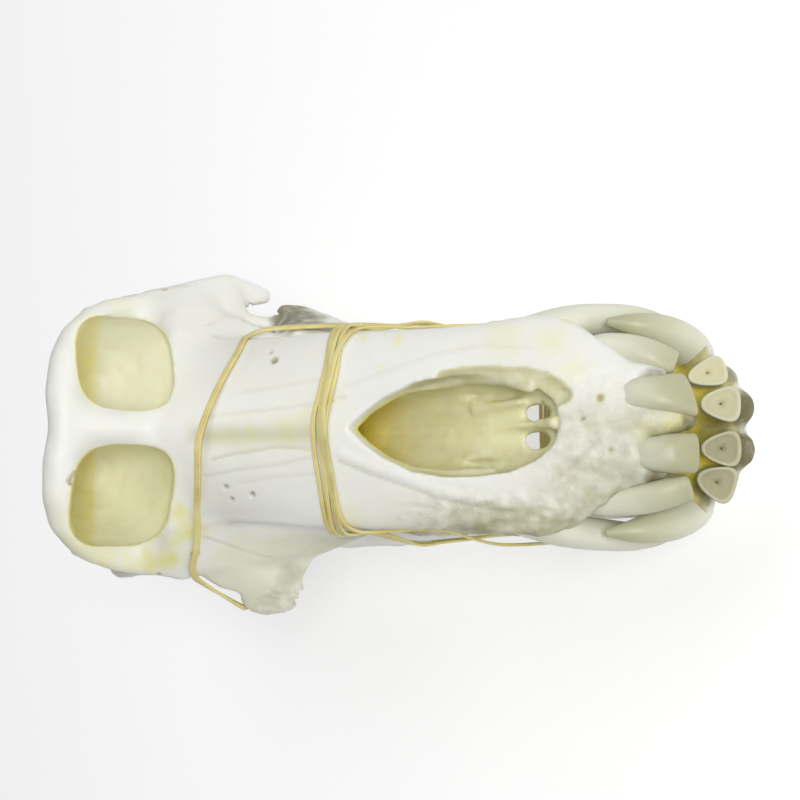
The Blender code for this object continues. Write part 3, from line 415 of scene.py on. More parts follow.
def cheeks():
    shapes = []
    # Right cheekbone, ending below in a rough hook
    shapes += [
        web((-5, -37, 68, 4), (0, -34, 58, 4.5), (0.5, -38.6, 53, 3.2), (8, -36, 47, 4)),
        web((0, -34, 58, 4.5), (12, -24, 58, 4), (8, -36, 47, 4), (22, -26, 44, 4)),
        web(
            (0.5, -38.6, 53, 3.2), (8, -36, 47, 4), (3, -50, 34, 2.8), (11, -44, 30, 3.4),
            (3, -44, 42, 2.6),
        ),
        web((8, -36, 47, 4), (3, -50, 34, 2.8), (11, -44, 30, 3.4), (15, -34.5, 30, 4)),
        web((8, -36, 47, 4), (22, -26, 44, 4), (15, -34.5, 30, 4), (24, -28, 28, 4), (38, -25, 22, 4)),
        web((3, -50, 34, 2.8), (3, -51.5, 31, 2.6), (7, -50, 26.5, 2.8), (11, -44, 28, 3.4)),
        web((1.6, -50.9, 37.6, 1.5), (2.6, -51.4, 34, 2.2), (4, -48.5, 34, 2.6)),
        web(
            (3.4, -51, 34, 2.5), (5, -51.2, 31, 2.5), (8, -50.2, 28.4, 2.4), (10, -47, 28.4, 2.2),
            (5, -48, 34, 3),
        ),
        web((13, -42, 29, 2.6), (15.6, -38.6, 29.4, 2.4), (11, -44, 32, 3), (20, -33, 30, 3)),
    ]
    # Left cheekbone, broken off under the orbit, and its stump on the jaw
    shapes += [
        web((-5, 36.5, 68, 4.2), (0, 33, 58, 4.5), (-3, 42, 54, 3), (6, 31.5, 50, 3)),
        web((0, 33, 58, 4.5), (12, 24, 58, 4), (7, 31.5, 50, 2.6), (20, 25.5, 46, 3.4)),
        web((-3, 42, 54, 3), (6, 31.5, 50, 3), (-1, 45.2, 45, 2.2), (6, 33.5, 44, 2)),
        web(
            (-1, 45.2, 45, 2.2), (0, 38, 45, 2.2), (1.4, 42.6, 36.4, 1.7), (2.8, 42.2, 33.6, 1.6),
            (3.2, 40.2, 33.4, 1.6), (1.6, 39.6, 37, 1.8),
        ),
        web((6, 32.3, 44, 2.2), (5, 32.8, 39.4, 1.8), (8, 31.6, 37.2, 2), (12, 31.4, 33.6, 2.2)),
        web(
            (6.2, 30.1, 65.2, 3.4), (8.7, 27.1, 64.4, 3.4), (5.6, 30.6, 59, 3.4), (3.2, 33.9, 55.7, 3.4),
            (0.7, 36.7, 59.1, 3.4), (3.7, 33.2, 63.5, 3.4),
        ),
        web((-0.7, 33.1, 66.5, 3.4), (3.1, 31.1, 67.6, 3.4), (6.1, 28.5, 69, 3.4), (4.4, 32.2, 64.8, 3.4)),
        web(
            (11, 36.6, 33.5, 1.8), (11, 33, 33, 2.6), (14, 36.4, 28, 1.8), (24, 29.5, 28, 3.2),
            (38, 25, 22, 4), (28, 26, 38, 4),
        ),
        web((11, 33, 33, 2.6), (28, 26, 40, 4), (20, 26.5, 40, 3), (38, 25, 24, 4)),
    ]
    return shapes


def egg(rings, count=20, power=2.5):
    """A cutter through rounded sections: centre, half width vector and half height vector."""
    out = []
    for centre, wide, high in rings:
        ring = []
        for i in range(count):
            c, s = corners(2 * math.pi * i / count, 2 / power)
            ring.append(tuple(Vector(centre) + Vector(wide) * c + Vector(high) * s))
        out.append(ring)
    return loft(out)


def orbit_cutter(side, from_midline, width, height):
    """Room of one eye socket, open along the line from which the face looks at you."""
    tilt = math.radians(17)
    up = Vector((-math.sin(tilt), 0, math.cos(tilt)))
    wide = Vector((-0.2, 0.98 * side, 0))
    rim = Vector((4, from_midline * side, 82.9))
    apex = Vector((-36, 10.5 * side, 71.5))
    outward = Vector((0.847, -0.02, 0.531))
    rings = []
    for ahead in (20, 8, 0, -5, -9):
        rings.append((rim + outward * ahead, wide * width / 2, up * height / 2))
    inner = rim - outward * 9
    for share, grow in ((0.14, 0.96), (0.3, 0.87), (0.48, 0.73), (0.64, 0.56), (0.76, 0.37), (0.8, 0.15)):
        rings.append((inner.lerp(apex, share), wide * width / 2 * grow, up * height / 2 * grow))
    return egg(rings, count=36, power=3.1)


def nose_cutter():
    """Opening of the nose with the room behind it."""
    outline = [
        (63, 0), (66, 3.4), (71, 7.7), (78, 11.6), (86, 13.2), (93, 13), (100, 12.2), (106, 9.4),
        (110, 5.4), (111.5, 0),
    ]
    outline += [(x, -y) for x, y in reversed(outline[1:-1])]
    rings = []
    for lift, grow in ((16, 1.0), (2, 1.0), (-8, 0.96), (-16, 0.86), (-22, 0.7)):
        ring = []
        for x, y in outline:
            z = 51.5 - RIM_SLOPE * (x - RIM_START)
            cx = 88 + (x - 88) * grow
            ring.append((cx + lift * 0.4, y * grow, max(z + lift * 0.9, 17.5 + 0.1 * (100 - x) * 0.3)))
        rings.append(ring)
    throat = egg([
        ((18, 0, 44), (0, 4, 0), (0, 0, 14)),
        ((28, 0, 42), (0, 8, 0), (0, 0, 19)),
        ((44, 0, 38), (0, 10, 0), (0, 0, 17)),
        ((60, 0, 34), (0, 11, 0), (0, 0, 13.5)),
        ((76, 0, 29.5), (0, 11.5, 0), (0, 0, 10)),
        ((90, 0, 26), (0, 10.5, 0), (0, 0, 7)),
        ((101, 0, 23), (0, 8, 0), (0, 0, 4.5)),
    ])
    ledge = web(
        (85, 12.8, 38.6, 1.4), (90, 13.6, 35.4, 1.5), (97.4, 13.3, 31, 1.6), (103.6, 12.6, 27.2, 1.6),
        (107.4, 11.6, 24.8, 1.6), (110.4, 9.4, 22.9, 1.6), (112.2, 7.2, 21.6, 1.6), (88, 8, 37, 1.5),
        (100, 6, 29, 1.6), (108, 4, 24.6, 1.6),
    )
    return [loft(rings), throat, ledge]


def choana_cutter():
    return egg([
        ((34, 0, 30), (0, 3.2, 0), (0, 0, 5)),
        ((24, 0, 30), (0, 7.5, 0), (0, 0, 8)),
        ((6, 0, 27), (0, 8.5, 0), (0, 0, 9)),
        ((-12, 0, 15), (0, 9, 0), (0, 0, 9)),
    ])


def socket_cutter():
    """Room round the head of the lower jaw."""
    return pair((-29.5, 28.5, 33.5, 4), (-29.5, 41.5, 33, 3.8), (-28.5, 35, 24, 4), (-29.5, 34, 16, 5))


def cheek_notch():
    """Gap in the edge of the right cheekbone, where the thin band spans it."""
    view = Vector((0.8, 0, 0.6)) * 16
    balls = []
    for centre in ((-0.5, -46, 51.5), (1.5, -48.2, 42)):
        for side in (-1, 1):
            balls.append((*(Vector(centre) + view * side), 1.9))
    return web(*balls)


def nose_holes():
    """Two holes behind the front teeth, open from the nose to the mouth."""
    hole = egg([
        ((105, 3.6, 22.5), (2.2, 0, -2.4), (0, 2.3, 0)),
        ((97, 3.6, 15.3), (2.2, 0, -2.4), (0, 2.3, 0)),
        ((86, 3.6, 5.4), (2.2, 0, -2.4), (0, 2.3, 0)),
    ], count=10)
    return both([hole])


def cranium_cutters():
    shapes = socket_cutter() + [cheek_notch()]
    shapes += [orbit_cutter(*sizes) for sizes in ORBITS]
    shapes += nose_cutter()
    shapes.append(choana_cutter())
    shapes += nose_holes()
    # Hole for the spinal cord
    shapes.append(egg([
        ((-66, 0, -6), (8, 0, -4), (0, 8, 0)),
        ((-60, 0, 8), (7.5, 0, -3.5), (0, 7.5, 0)),
        ((-56, 0, 19), (7.5, 0, -3.5), (0, 7.5, 0)),
        ((-54, 0, 26), (4, 0, -2), (0, 4, 0)),
    ], count=14, power=2.0))
    return shapes


def section_ring(centre, along, across, a, b, power, taper):
    """A section of a tooth, narrower to one side by the taper."""
    ring = []
    for i in range(TOOTH_SIDES):
        c, s = corners(2 * math.pi * (i + 0.5) / TOOTH_SIDES, 2 / power)
        ring.append(Vector(centre) + Vector(along) * a * c * (1 + taper * s) + Vector(across) * b * s)
    return ring


def mandible_forms():
    shapes = []
    # Chin, with the swellings over the roots of the middle teeth
    shapes += [
        web(
            (130, 0, -18, 4.6), (126, 10, -17, 5), (126, -10, -17, 5), (118, 0, -37, 6.4),
            (113, 8, -40, 6), (113, -8, -40, 6),
        ),
        web(
            (118, 0, -37, 6.4), (113, 8, -41.5, 6), (113, -8, -41.5, 6), (109, 7, -44, 6),
            (109, -7, -44, 6), (104, 0, -40, 5),
        ),
        web((126, 0, -16, 5), (118, 0, -24, 6), (108, 0, -36, 6), (118, 8, -20, 6), (118, -8, -20, 6)),
    ]
    shapes += pair((136, 5.4, -16.8, 5.4), (129, 5, -14, 4), (120, 5, -34, 5))
    shapes += pair((132, 12.5, -16.5, 4.6), (124, 12, -14, 4), (117, 9, -34, 5))
    shapes += pair((123.5, 19.2, -16, 5.4), (116, 19, -14, 5), (112, 12, -36, 6))
    shapes += pair(
        (126, 10, -17, 5), (119, 17, -17, 5.4), (113, 8, -41, 6), (110, 12, -40, 6.5), (118, 4, -30, 6),
    )
    shapes += pair(
        (119, 17, -16, 5.4), (102, 18.6, -14, 5), (110, 12, -40, 6.5), (96, 16.5, -40, 6),
        (109, 7, -44, 6),
    )
    # Body of the jaw
    stations = [
        (102, 18.6, -14, 5, 16.5, -40, 6), (86, 19.6, -14, 5, 17.2, -39.5, 6),
        (70, 20.2, -14, 5.4, 19, -38, 6.2),
        (54, 21, -14, 5.8, 21.5, -36, 6.4), (38, 22.4, -14, 6, 24.5, -35, 6.2),
        (24, 25, -12, 5.2, 26.5, -36, 5.6),
    ]
    for (xa, ya, za, ra, yb, zb, rb), (xc, yc, zc, rc, yd, zd, rd) in zip(stations, stations[1:]):
        shapes += pair((xa, ya, za, ra), (xa - 4, yb, zb, rb), (xc, yc, zc, rc), (xc - 4, yd, zd, rd))
    # Branch behind the teeth, with the angle that reaches the ground
    shapes += pair(
        (24, 26, -10, 5), (20, 27, -36, 5.6), (14, 29, 4, 3.2), (0, 29, -41, 4.8), (0, 30.5, 0, 3),
    )
    shapes += pair(
        (0, 29, -41, 4.8), (-8, 29.8, -45.2, 4.8), (0, 30.5, 0, 3), (-18, 32, -8, 3),
        (-24, 31.5, -34, 3.8),
    )
    shapes += pair(
        (-8, 29.8, -45.2, 4.8), (-14, 30.2, -45, 4.6), (-24, 31.5, -34, 3.8), (-14, 31.5, -20, 3.2),
    )
    shapes += pair((-18, 32, -8, 3), (-24, 31.5, -34, 3.8), (-33, 33, -22, 3.2), (-33, 34, 6, 3.2))
    shapes += pair(
        (0, 30.5, 0, 3), (-18, 32, -8, 3), (-33, 34, 6, 3.2), (-18, 34, 20, 2.4), (-4, 32.5, 24, 2.3),
    )
    # Front spike and neck with its joint head
    shapes += pair(
        (14, 29, 4, 3.2), (8, 30.5, 12, 2.6), (1, 32, 25, 2.3), (-4, 32.5, 24, 2.3), (0, 30.5, 0, 3),
    )
    shapes += pair((1, 32, 25, 2.3), (-12, 33, 25, 2.2), (-3, 33, 36, 2), (-10, 33.4, 36, 1.8))
    shapes += pair((-3, 33, 36, 2), (-10, 33.4, 36, 1.8), (-6, 33.5, 43.5, 1.7), (-10, 33.8, 42.5, 1.6))
    shapes += pair((-12, 33, 25, 2.2), (-18, 34, 18, 2.4), (-25, 35.6, 27, 2.2), (-16, 33.6, 25, 2))
    shapes += pair((-18, 34, 20, 2.4), (-33, 34, 6, 3.2), (-25, 36, 27, 2.4), (-32, 36, 27, 2.8))
    shapes += pair((-29.5, 29, 33.5, 3), (-29.5, 40.5, 33, 2.8), (-28.5, 35, 26, 3))
    return shapes


def surface_tree(objects):
    return BVHTree.FromPolygons(*merged([shape_of(obj) for obj in objects]))


def curve(p0, p1, p2, p3, t):
    """A point between p1 and p2 on the smooth curve through all four."""
    bend = (2 * p0 - 5 * p1 + 4 * p2 - p3) * t * t
    return 0.5 * (2 * p1 + (p2 - p0) * t + bend + (3 * p1 - p0 - 3 * p2 + p3) * t ** 3)


def closed_spline(points, count):
    """Evenly spaced points of a smooth closed line through the given ones."""
    pts = [Vector(p) for p in points]
    n = len(pts)
    dense = []
    for i in range(n):
        four = pts[i - 1], pts[i], pts[(i + 1) % n], pts[(i + 2) % n]
        dense += [curve(*four, k / 12) for k in range(12)]
    steps = [0.0]
    for a, b in zip(dense, dense[1:] + dense[:1]):
        steps.append(steps[-1] + (b - a).length)
    out = []
    j = 0
    for i in range(count):
        want = steps[-1] * i / count
        while steps[j + 1] < want:
            j += 1
        share = (want - steps[j]) / (steps[j + 1] - steps[j])
        out.append(dense[j].lerp(dense[(j + 1) % len(dense)], share))
    return out


def height(tree, p):
    """How far a point lies outside the bones, negative inside them."""
    hit, normal, _, distance = tree.find_nearest(p)
    return distance if (p - hit).dot(normal) > 0 else -distance


def mirrored(rows):
    """Each of the lines, followed by its mirror image."""
    out = []
    for width, depth, points in rows:
        out += [(width, depth, points), (width, depth, [(x, -y, z) for x, y, z in points])]
    return out


# Lines on the bone as (half width, depth, points): a positive depth is a groove, a negative one a
# ridge. The points lie near the surface and are moved onto it.
LINES = [
    # Seams of the nasal bones between the two bands
    (0.45, 0.32, [(28.7, -8.6, 70.4), (33.6, -7.2, 68.1), (40.2, -6.1, 64.6), (45.7, -5, 61.5),
        (54, -5.7, 57)]),
    (0.45, 0.16, [(28, 3, 72.5), (36.5, 4.1, 67.1), (45.1, 5.1, 61.9), (53.7, 6.2, 56.9), (62, 8.2, 52)]),
    (0.5, 0.18, [(24.9, -12.9, 70), (35.1, -11.2, 65.8), (45.8, -9.7, 60.5), (54, -7.6, 56.8)]),
    (0.5, 0.14, [(33, -14.8, 65), (42, -13.2, 61), (50, -12.4, 57.5), (56, -12, 54.5)]),
    (2.6, 0.35, [(26, -2.4, 74), (34, -2, 69), (44, -2, 63.5), (55, -1.6, 57)]),
    (0.5, 0.12, [(36, 10, 66.5), (46, 11.5, 61), (56, 13.5, 55)]),
    # Crest to the right of the nose opening, with the seam below it
    (1.3, -0.4, [(61.4, -6.7, 52.5), (68.5, -10.1, 48.2), (76.4, -12.8, 43.3), (82.6, -15.6, 39.2),
        (90.6, -17.5, 34), (98, -19, 29.4)]),
    (0.45, 0.26, [(60.6, -8.6, 52.4), (67.8, -11.9, 47.6), (75.8, -14.8, 42.7), (82.2, -17.4, 38.5),
        (90.2, -19.4, 33.3), (100, -20.9, 27.2), (106.5, -22.4, 22.4)]),
    # Crest to its left, fainter
    (1.5, -0.2, [(62, 9.6, 51.7), (72, 13.6, 45.8), (82, 17.6, 39.6), (92, 20, 33)]),
    (0.5, 0.09, [(61.4, 11, 51.4), (71.6, 15.3, 45.2), (82, 19.4, 38.8), (93, 21.6, 32.2),
        (104, 20.6, 25.4)]),
    # Cracks in front of the nose opening
    (0.4, 0.15, [(113.5, 0.9, 20.5), (115.2, 0.7, 19.2), (119.1, 1.4, 16.1), (124, 2.4, 12.2),
        (129, 2, 8.6)]),
    (0.8, 0.2, [(119, -3, 16.6), (116, -5.8, 18.4), (113, -9.5, 20), (109, -12.5, 22.2)]),
    (0.9, -0.25, [(117.4, -6.4, 17.6), (114.6, -11.4, 18.8), (111.4, -16.6, 19.2)]),
    # Edge of the right cheekbone, and the seam along the muzzle's side
    (1.6, -0.45, [(14.9, -25.1, 62.3), (29.9, -24.5, 58.2), (39.3, -24.8, 55.2), (52.6, -25.9, 48.6)]),
    (0.8, 0.3, [(20, -27.4, 58.4), (34, -26.6, 55), (46, -27, 50)]),
    (0.7, 0.25, [(15, 25.6, 61), (28, 25.2, 57), (42, 26, 52.5)]),
    # Seams of the cheekbones below the eyes
    (0.5, 0.2, [(8.5, 25, 68), (10.5, 28.4, 60), (9, 31.5, 52)]),
    (0.5, 0.2, [(8.5, -25.4, 68), (11, -28.6, 60), (12.6, -31.5, 50), (16, -33, 40)]),
    (0.5, 0.22, [(-8, 36.4, 72), (-5, 40, 68.4), (-1, 41.8, 60)]),
    (0.5, 0.22, [(-8, -38, 73), (-5.6, -41, 69), (-2, -42, 61)]),
    # Temporal lines, from the brow back to the crest from ear to ear
    (1.5, -0.6, [(-8, 34, 89), (-16, 27.5, 92), (-30, 20.5, 88.5), (-48, 14.5, 77), (-66, 11.5, 65.5),
        (-84, 16, 52), (-94, 26, 40)]),
    (1.5, -0.6, [(-8, -34, 90), (-16, -28, 92), (-30, -20.5, 88.5), (-48, -14.5, 77), (-66, -11.5, 65.5),
        (-84, -16, 52), (-94, -26, 40)]),
    # Groove behind the brow ridge
    (3.2, 0.7, [(-9, 24, 95), (-10.5, 12, 97), (-11, 0, 97), (-10.5, -12, 97), (-9, -24, 96)]),
    # Side of the upper jaw over the roots of the teeth
    (1.5, -0.5, [(90, 28.5, 12), (91.5, 27.4, 20), (92, 26, 27)]),
    (1.4, -0.4, [(82, 28.6, 12), (82.6, 26, 20), (83, 24.6, 26)]),
    (1.4, -0.4, [(74.6, 29, 12), (74.6, 25.6, 20)]),
    (1.4, -0.4, [(68, 29.5, 12), (68, 25.6, 20)]),
    (1.4, -0.35, [(61.6, 29.8, 12), (61, 25.8, 19)]),
    (1.4, -0.35, [(54.6, 29.8, 12), (54, 26, 19)]),
    (1.9, -0.75, [(90.4, -28.5, 12), (91.6, -27.2, 20), (91, -26, 27)]),
    (1.8, -0.7, [(82.4, -28.6, 12), (82.8, -26.4, 20), (82, -24.6, 26)]),
    (1.7, -0.7, [(75, -29, 12), (74.8, -26, 20), (73, -24, 25)]),
    (1.6, -0.65, [(68, -29.4, 12), (67.6, -26, 20)]),
    (1.6, -0.6, [(61.6, -29.8, 12), (61, -26, 19)]),
    (1.6, -0.55, [(54.6, -29.8, 12), (54, -26.4, 19)]),
]

# Seams that zigzag over the braincase, as (half width, depth, points)
SEAMS = mirrored([
    (0.45, 0.3, [(-30, 0, 92), (-36, 12, 86), (-37, 24, 78), (-33, 33, 66), (-29, 38, 55)]),
]) + [(0.4, 0.25, [(-30, 0, 92), (-50, 0.6, 79), (-68, -0.5, 65), (-82, 0.4, 54)])] + mirrored([
    (0.45, 0.3, [(-88, 0, 48), (-86, 14, 46), (-80, 28, 42), (-72, 38, 40)]),
    (0.4, 0.22, [(-30, 40, 52), (-42, 44, 57), (-56, 46, 52), (-66, 44, 42)]),
])

# Small holes as (x, y, z, radius, depth)
HOLES = [
    (41, 18.6, 59.4, 0.75, 2.6), (29.3, -15.8, 66.1, 0.5, 1.8), (29.1, -19.1, 63.9, 0.5, 1.8),
    (35.8, -17.9, 62.1, 0.6, 2.2), (115.7, 2.5, 18.8, 0.42, 1.4), (119, 7.8, 16.1, 0.8, 0.9),
    (121, -5.2, 14.4, 0.7, 0.7), (-3, 40.5, 66, 0.6, 1.4), (-3, -41, 66, 0.6, 1.4),
    (38.4, 20.4, 58.4, 0.4, 1.0), (7.4, -33.6, 60.4, 0.5, 0.9), (100, 6, 17.6, 0.5, 0.8),
]

# Yellow stains on the bone, and painted shade along the midline of the nasal bones, between the front teeth
# and on the right side of the muzzle, as (x, y, z, radius, strength)
STAINS = [
    (13.7, -22.9, 70.3, 3.4, 0.8), (12.7, -25.7, 68.2, 3.2, 0.8), (11.4, -28, 65.3, 4.4, 0.9),
    (10.4, -29.1, 67.8, 3, 0.7), (8.3, -31.4, 67.7, 3, 0.6), (-1.9, -37.4, 69.5, 4.4, 0.9),
    (0.6, -37, 67, 4.2, 0.85), (3.1, -36.1, 66.1, 4, 0.9), (-2.3, -33.1, 92, 8, 0.55),
    (-5.3, -37.2, 83.8, 7, 0.6), (-4, -38, 75, 6, 0.5), (1.4, -25.2, 100.6, 6, 0.25),
    (0, 30, 92, 5, 0.2), (-5, 36, 80, 5, 0.25), (6.7, -33.9, 60.5, 1.5, 1.0), (62.9, 23.8, 46.7, 1.3, 0.5),
    (72.3, 23.1, 42.6, 1.6, 0.5), (70, 16.1, 46.1, 1.3, 0.35), (40, -1.4, 66, 3.6, 0.5),
    (30, -2.6, 71.6, 2.4, 0.3), (48, -0.6, 61, 4.6, 0.5), (35, -2, 69, 3, 0.45), (54, 0.4, 57.4, 5.4, 0.4),
    (128, 0.5, 8, 6, 0.6), (134, 0.6, 5, 5, 0.9), (105.5, 28.4, 15.5, 3, 0.9), (119, 7.8, 16.1, 1.1, 0.9),
    (121, -5.2, 14.4, 1, 0.5), (3, -50, 31, 6, 0.4), (11.5, 37, 31, 5, 0.75), (-1, 46.4, 46, 1.6, 0.6),
    (96, 22, 26, 5, 0.3), (60, 8, 54, 3, 0.2), (106, 22, 20, 4, 0.4), (112, 14, 19, 4, 0.35),
    (60, -23.5, 47, 4, 0.4), (70, -24, 40, 4, 0.35),
]

# Darker, greener places, as (x, y, z, radius, strength): dirt on the broken stump of the left cheekbone and
# spots at the roots of the canines, and painted shade between the front teeth, along the right side of the
# muzzle, on the hook and below the edge of the right cheekbone
SOILS = [
    (13.6, 36, 33, 6, 0.9), (20.6, 34, 34.6, 7, 0.85), (28.4, 30.7, 35.2, 5, 0.75), (20, 32, 38, 5, 0.9),
    (23.3, 31.6, 38.5, 4, 0.9), (28.6, 30.2, 37.2, 4, 0.8), (31.2, 29.7, 35, 4, 0.75),
    (15.8, 34, 36.5, 5, 0.9), (21.9, 30.2, 40.4, 3.2, 0.9), (26.8, 29.9, 40.2, 3.2, 0.9),
    (29.2, 29.6, 38.8, 3, 0.8), (31, 29.4, 37, 3, 0.75), (33, 29.6, 31, 5, 0.6), (12, 34, 29, 6, 0.85),
    (20, 31.5, 28, 5, 0.8), (6.7, -33.9, 60.5, 1.2, 0.8), (136, 0.6, 1, 4, 1.0),
    (133, 0.6, 3.6, 3.4, 0.7), (130, 0.5, 6.4, 4, 0.4), (128.6, 12.6, 6, 3.4, 0.8),
    (128.6, -11.4, 6, 3.4, 0.9), (105, 28.6, 12, 3.2, 0.8), (105, -28.6, 12, 5, 1.0),
    (60, -28.5, 24, 9, 0.4), (80, -27.5, 20, 9, 0.5), (96, -28, 20, 7, 0.5), (40, -29.5, 26, 8, 0.45),
    (15.2, -41.3, 32.5, 5, 0.3), (8.2, -48.9, 34.3, 4, 0.3), (34, -27, 54, 2.6, 0.12),
    (41, -27.4, 50.6, 3, 0.24), (48, -27.6, 46.6, 3.4, 0.4), (54, -27.8, 42, 4, 0.45),
    (30, -29, 46, 4, 0.12), (38, -29, 42, 4, 0.2), (46, -29, 36, 5, 0.3),
]


def snapped(tree, points):
    return np.array([tuple(tree.find_nearest(Vector(p))[0]) for p in points])


def polyline_distance(co, line):
    """How far each point lies from a line through the given points."""
    nearest = np.full(len(co), 1e9)
    for a, b in zip(line, line[1:]):
        ab = b - a
        share = np.clip(((co - a) @ ab) / max(float(ab @ ab), 1e-9), 0, 1)
        gap = co - a - share[:, None] * ab
        nearest = np.minimum(nearest, np.einsum("ij,ij->i", gap, gap))
    return np.sqrt(nearest)


def near_line(co, line, reach):
    low = line.min(axis=0) - reach
    high = line.max(axis=0) + reach
    return np.nonzero(((co > low) & (co < high)).all(axis=1))[0]


def zigzag(points, size, rng):
    """More points along the line, thrown to either side of it."""
    out = []
    for a, b in zip(points, points[1:]):
        a = Vector(a)
        b = Vector(b)
        steps = max(2, int((b - a).length / (size * 1.2)))
        side = (b - a).cross(Vector((0.3, 0.2, 1))).normalized()
        for i in range(steps):
            throw = size * (0.5 + 0.5 * rng.random()) * (1 if i % 2 else -1)
            out.append(a.lerp(b, i / steps) + side * throw)
    out.append(Vector(points[-1]))
    return out


def lattice_noise(co, size, seed):
    """Smooth noise between -1 and 1, with lumps of the given size."""
    grid = co / size + 1000.0 + seed * 17.31
    cell = np.floor(grid).astype(np.int64)
    part = grid - cell
    part = part * part * (3 - 2 * part)
    total = np.zeros(len(co))
    for corner in range(8):
        step = np.array([corner & 1, corner >> 1 & 1, corner >> 2 & 1])
        spot = cell + step
        mixed = spot[:, 0] * 73856093 ^ spot[:, 1] * 19349663 ^ spot[:, 2] * 83492791 ^ seed * 2654435761
        mixed = (mixed ^ (mixed >> 13)) * 1274126177
        value = ((mixed ^ (mixed >> 16)) & 0xFFFF) / 32767.5 - 1
        weight = np.prod(np.where(step == 1, part, 1 - part), axis=1)
        total += value * weight
    return total


def fade(values, low, high):
    share = np.clip((values - low) / (high - low), 0, 1)
    return share * share * (3 - 2 * share)


def read_mesh(obj):
    """Points in the skull's own frame, and normals."""
    count = len(obj.data.vertices)
    co = np.empty(count * 3)
    normals = np.empty(count * 3)
    obj.data.vertices.foreach_get("co", co)
    obj.data.vertices.foreach_get("normal", normals)
    return co.reshape(-1, 3) / MM, normals.reshape(-1, 3)


def edge_ends(obj):
    ends = np.empty(len(obj.data.edges) * 2, np.int32)
    obj.data.edges.foreach_get("vertices", ends)
    return ends.reshape(-1, 2)


def spread(values, ends, rounds):
    """Averages values over neighbouring points."""
    for _ in range(rounds):
        total = values.copy()
        count = np.ones(len(values))
        for a, b in ((0, 1), (1, 0)):
            total += np.bincount(ends[:, a], values[ends[:, b]], len(values))
            count += np.bincount(ends[:, a], minlength=len(values))
        values = total / count
    return values


def hollows(obj, co, normals, lift):
    """How hollow the carved surface is round each point, from 0 to 1."""
    ends = edge_ends(obj)
    total = np.zeros(len(co))
    for a, b in ((0, 1), (1, 0)):
        rise = np.einsum("ij,ij->i", co[ends[:, b]] - co[ends[:, a]], normals[ends[:, a]])
        total += np.bincount(ends[:, a], rise, len(co))
    return np.clip(spread(total - lift * 0.4, ends, 2) * 1.6, 0, 1)


def store(obj, **layers):
    """Keeps values for the material, one for each point of the object, and shades it smoothly."""
    for name, values in layers.items():
        layer = obj.data.attributes.new(name, "FLOAT", "POINT")
        layer.data.foreach_set("value", np.ascontiguousarray(values, np.float32))
    obj.data.polygons.foreach_set("use_smooth", [True] * len(obj.data.polygons))


def carve(co, tree, lines, rng=None):
    """Heights to add along the normals for a list of grooves and ridges, and a mask of the grooves."""
    lift = np.zeros(len(co))
    mask = np.zeros(len(co))
    for width, depth, points in lines:
        if rng is not None:
            points = zigzag(points, 1.3, rng)
        line = snapped(tree, points)
        some = near_line(co, line, width * 3)
        if not len(some):
            continue
        fall = np.exp(-(polyline_distance(co[some], line) / width) ** 2)
        lift[some] -= depth * fall
        if depth > 0:
            mask[some] = np.maximum(mask[some], fall * min(1.0, depth * 2.5))
    return lift, mask


def drill(co, lift, mask, tree, holes):
    """Adds holes to the heights and to the mask, which darkens them as painted shade."""
    for x, y, z, radius, depth in holes:
        middle = snapped(tree, [(x, y, z)])[0]
        gap = np.linalg.norm(co - middle, axis=1)
        fall = np.exp(-(gap / radius) ** 4)
        lift -= depth * fall
        mask[:] = np.maximum(mask, fall)


def fill_face(obj):
    """Raises the hollows of the face between brow and muzzle to a smooth run, before the sockets are cut."""
    co, normals = read_mesh(obj)
    ends = edge_ends(obj)
    x, _, z = co.T
    mask = fade(x, -13, -9) * (1 - fade(x, 28, 36)) * fade(z, 52, 58)
    count = np.bincount(ends.ravel(), minlength=len(co))[:, None]
    for _ in range(260):
        total = np.zeros_like(co)
        for axis in range(3):
            total[:, axis] = np.bincount(ends[:, 0], co[ends[:, 1], axis], len(co))
            total[:, axis] += np.bincount(ends[:, 1], co[ends[:, 0], axis], len(co))
        rise = np.einsum("ij,ij->i", total / count - co, normals)
        co = co + normals * (np.clip(rise, 0, None) * mask)[:, None]
    displace(obj, co, normals, np.zeros(len(co)))


def spots(co, tree, places, sharpness, wobble):
    """Strength at each point of round spots with uneven edges, the strongest where they overlap."""
    total = np.zeros(len(co))
    for x, y, z, radius, strength in places:
        gap = np.linalg.norm(co - snapped(tree, [(x, y, z)])[0], axis=1)
        total = np.maximum(total, strength * np.exp(-(gap / (radius * wobble)) ** sharpness))
    return total


def soiling(co, tree, places):
    return spots(co, tree, places, 4, 1 + 0.3 * lattice_noise(co, 2.6, 31))


def displace(obj, co, normals, lift):
    moved = (co + normals * lift[:, None]) * MM
    obj.data.vertices.foreach_set("co", np.ascontiguousarray(moved).ravel())
    obj.data.update()


def with_shapes(obj, shapes):
    """The object with more closed shapes laid over it, ready to be fused."""
    shape = shape_of(obj)
    bpy.data.objects.remove(obj)
    return joined("form", [shape] + shapes)


def inside_nose():
    """The ridge along the floor of the nose and the ledges on its walls."""
    shapes = chain([
        (36, 0, 21.6, 1.2), (58, 0.3, 20.4, 1), (70, 0.2, 19.4, 0.9), (80, 0, 18.8, 0.85),
        (90, 0.3, 18.3, 0.8), (98, 0.5, 18.2, 0.9), (104, 0.4, 19.2, 1.5), (108, 0.3, 21, 1.8),
    ])
    shapes += chain([
        (60, 10.6, 40, 1.4), (68, 11.2, 38.4, 1.8), (76, 12, 35, 2), (86, 13, 31, 2.2),
        (96, 12.2, 27.4, 2), (103, 9.6, 24.6, 1.6),
    ])
    shapes += chain([
        (60, -10.6, 38, 1.4), (70, -11.6, 35.6, 1.6), (80, -12.4, 31.6, 1.6), (92, -11.8, 27, 1.4),
    ])
    shapes += chain([(78, 5.4, 20, 1.2), (86, 6.2, 19.4, 1.2), (94, 6.6, 18.6, 1.1)])
    return shapes


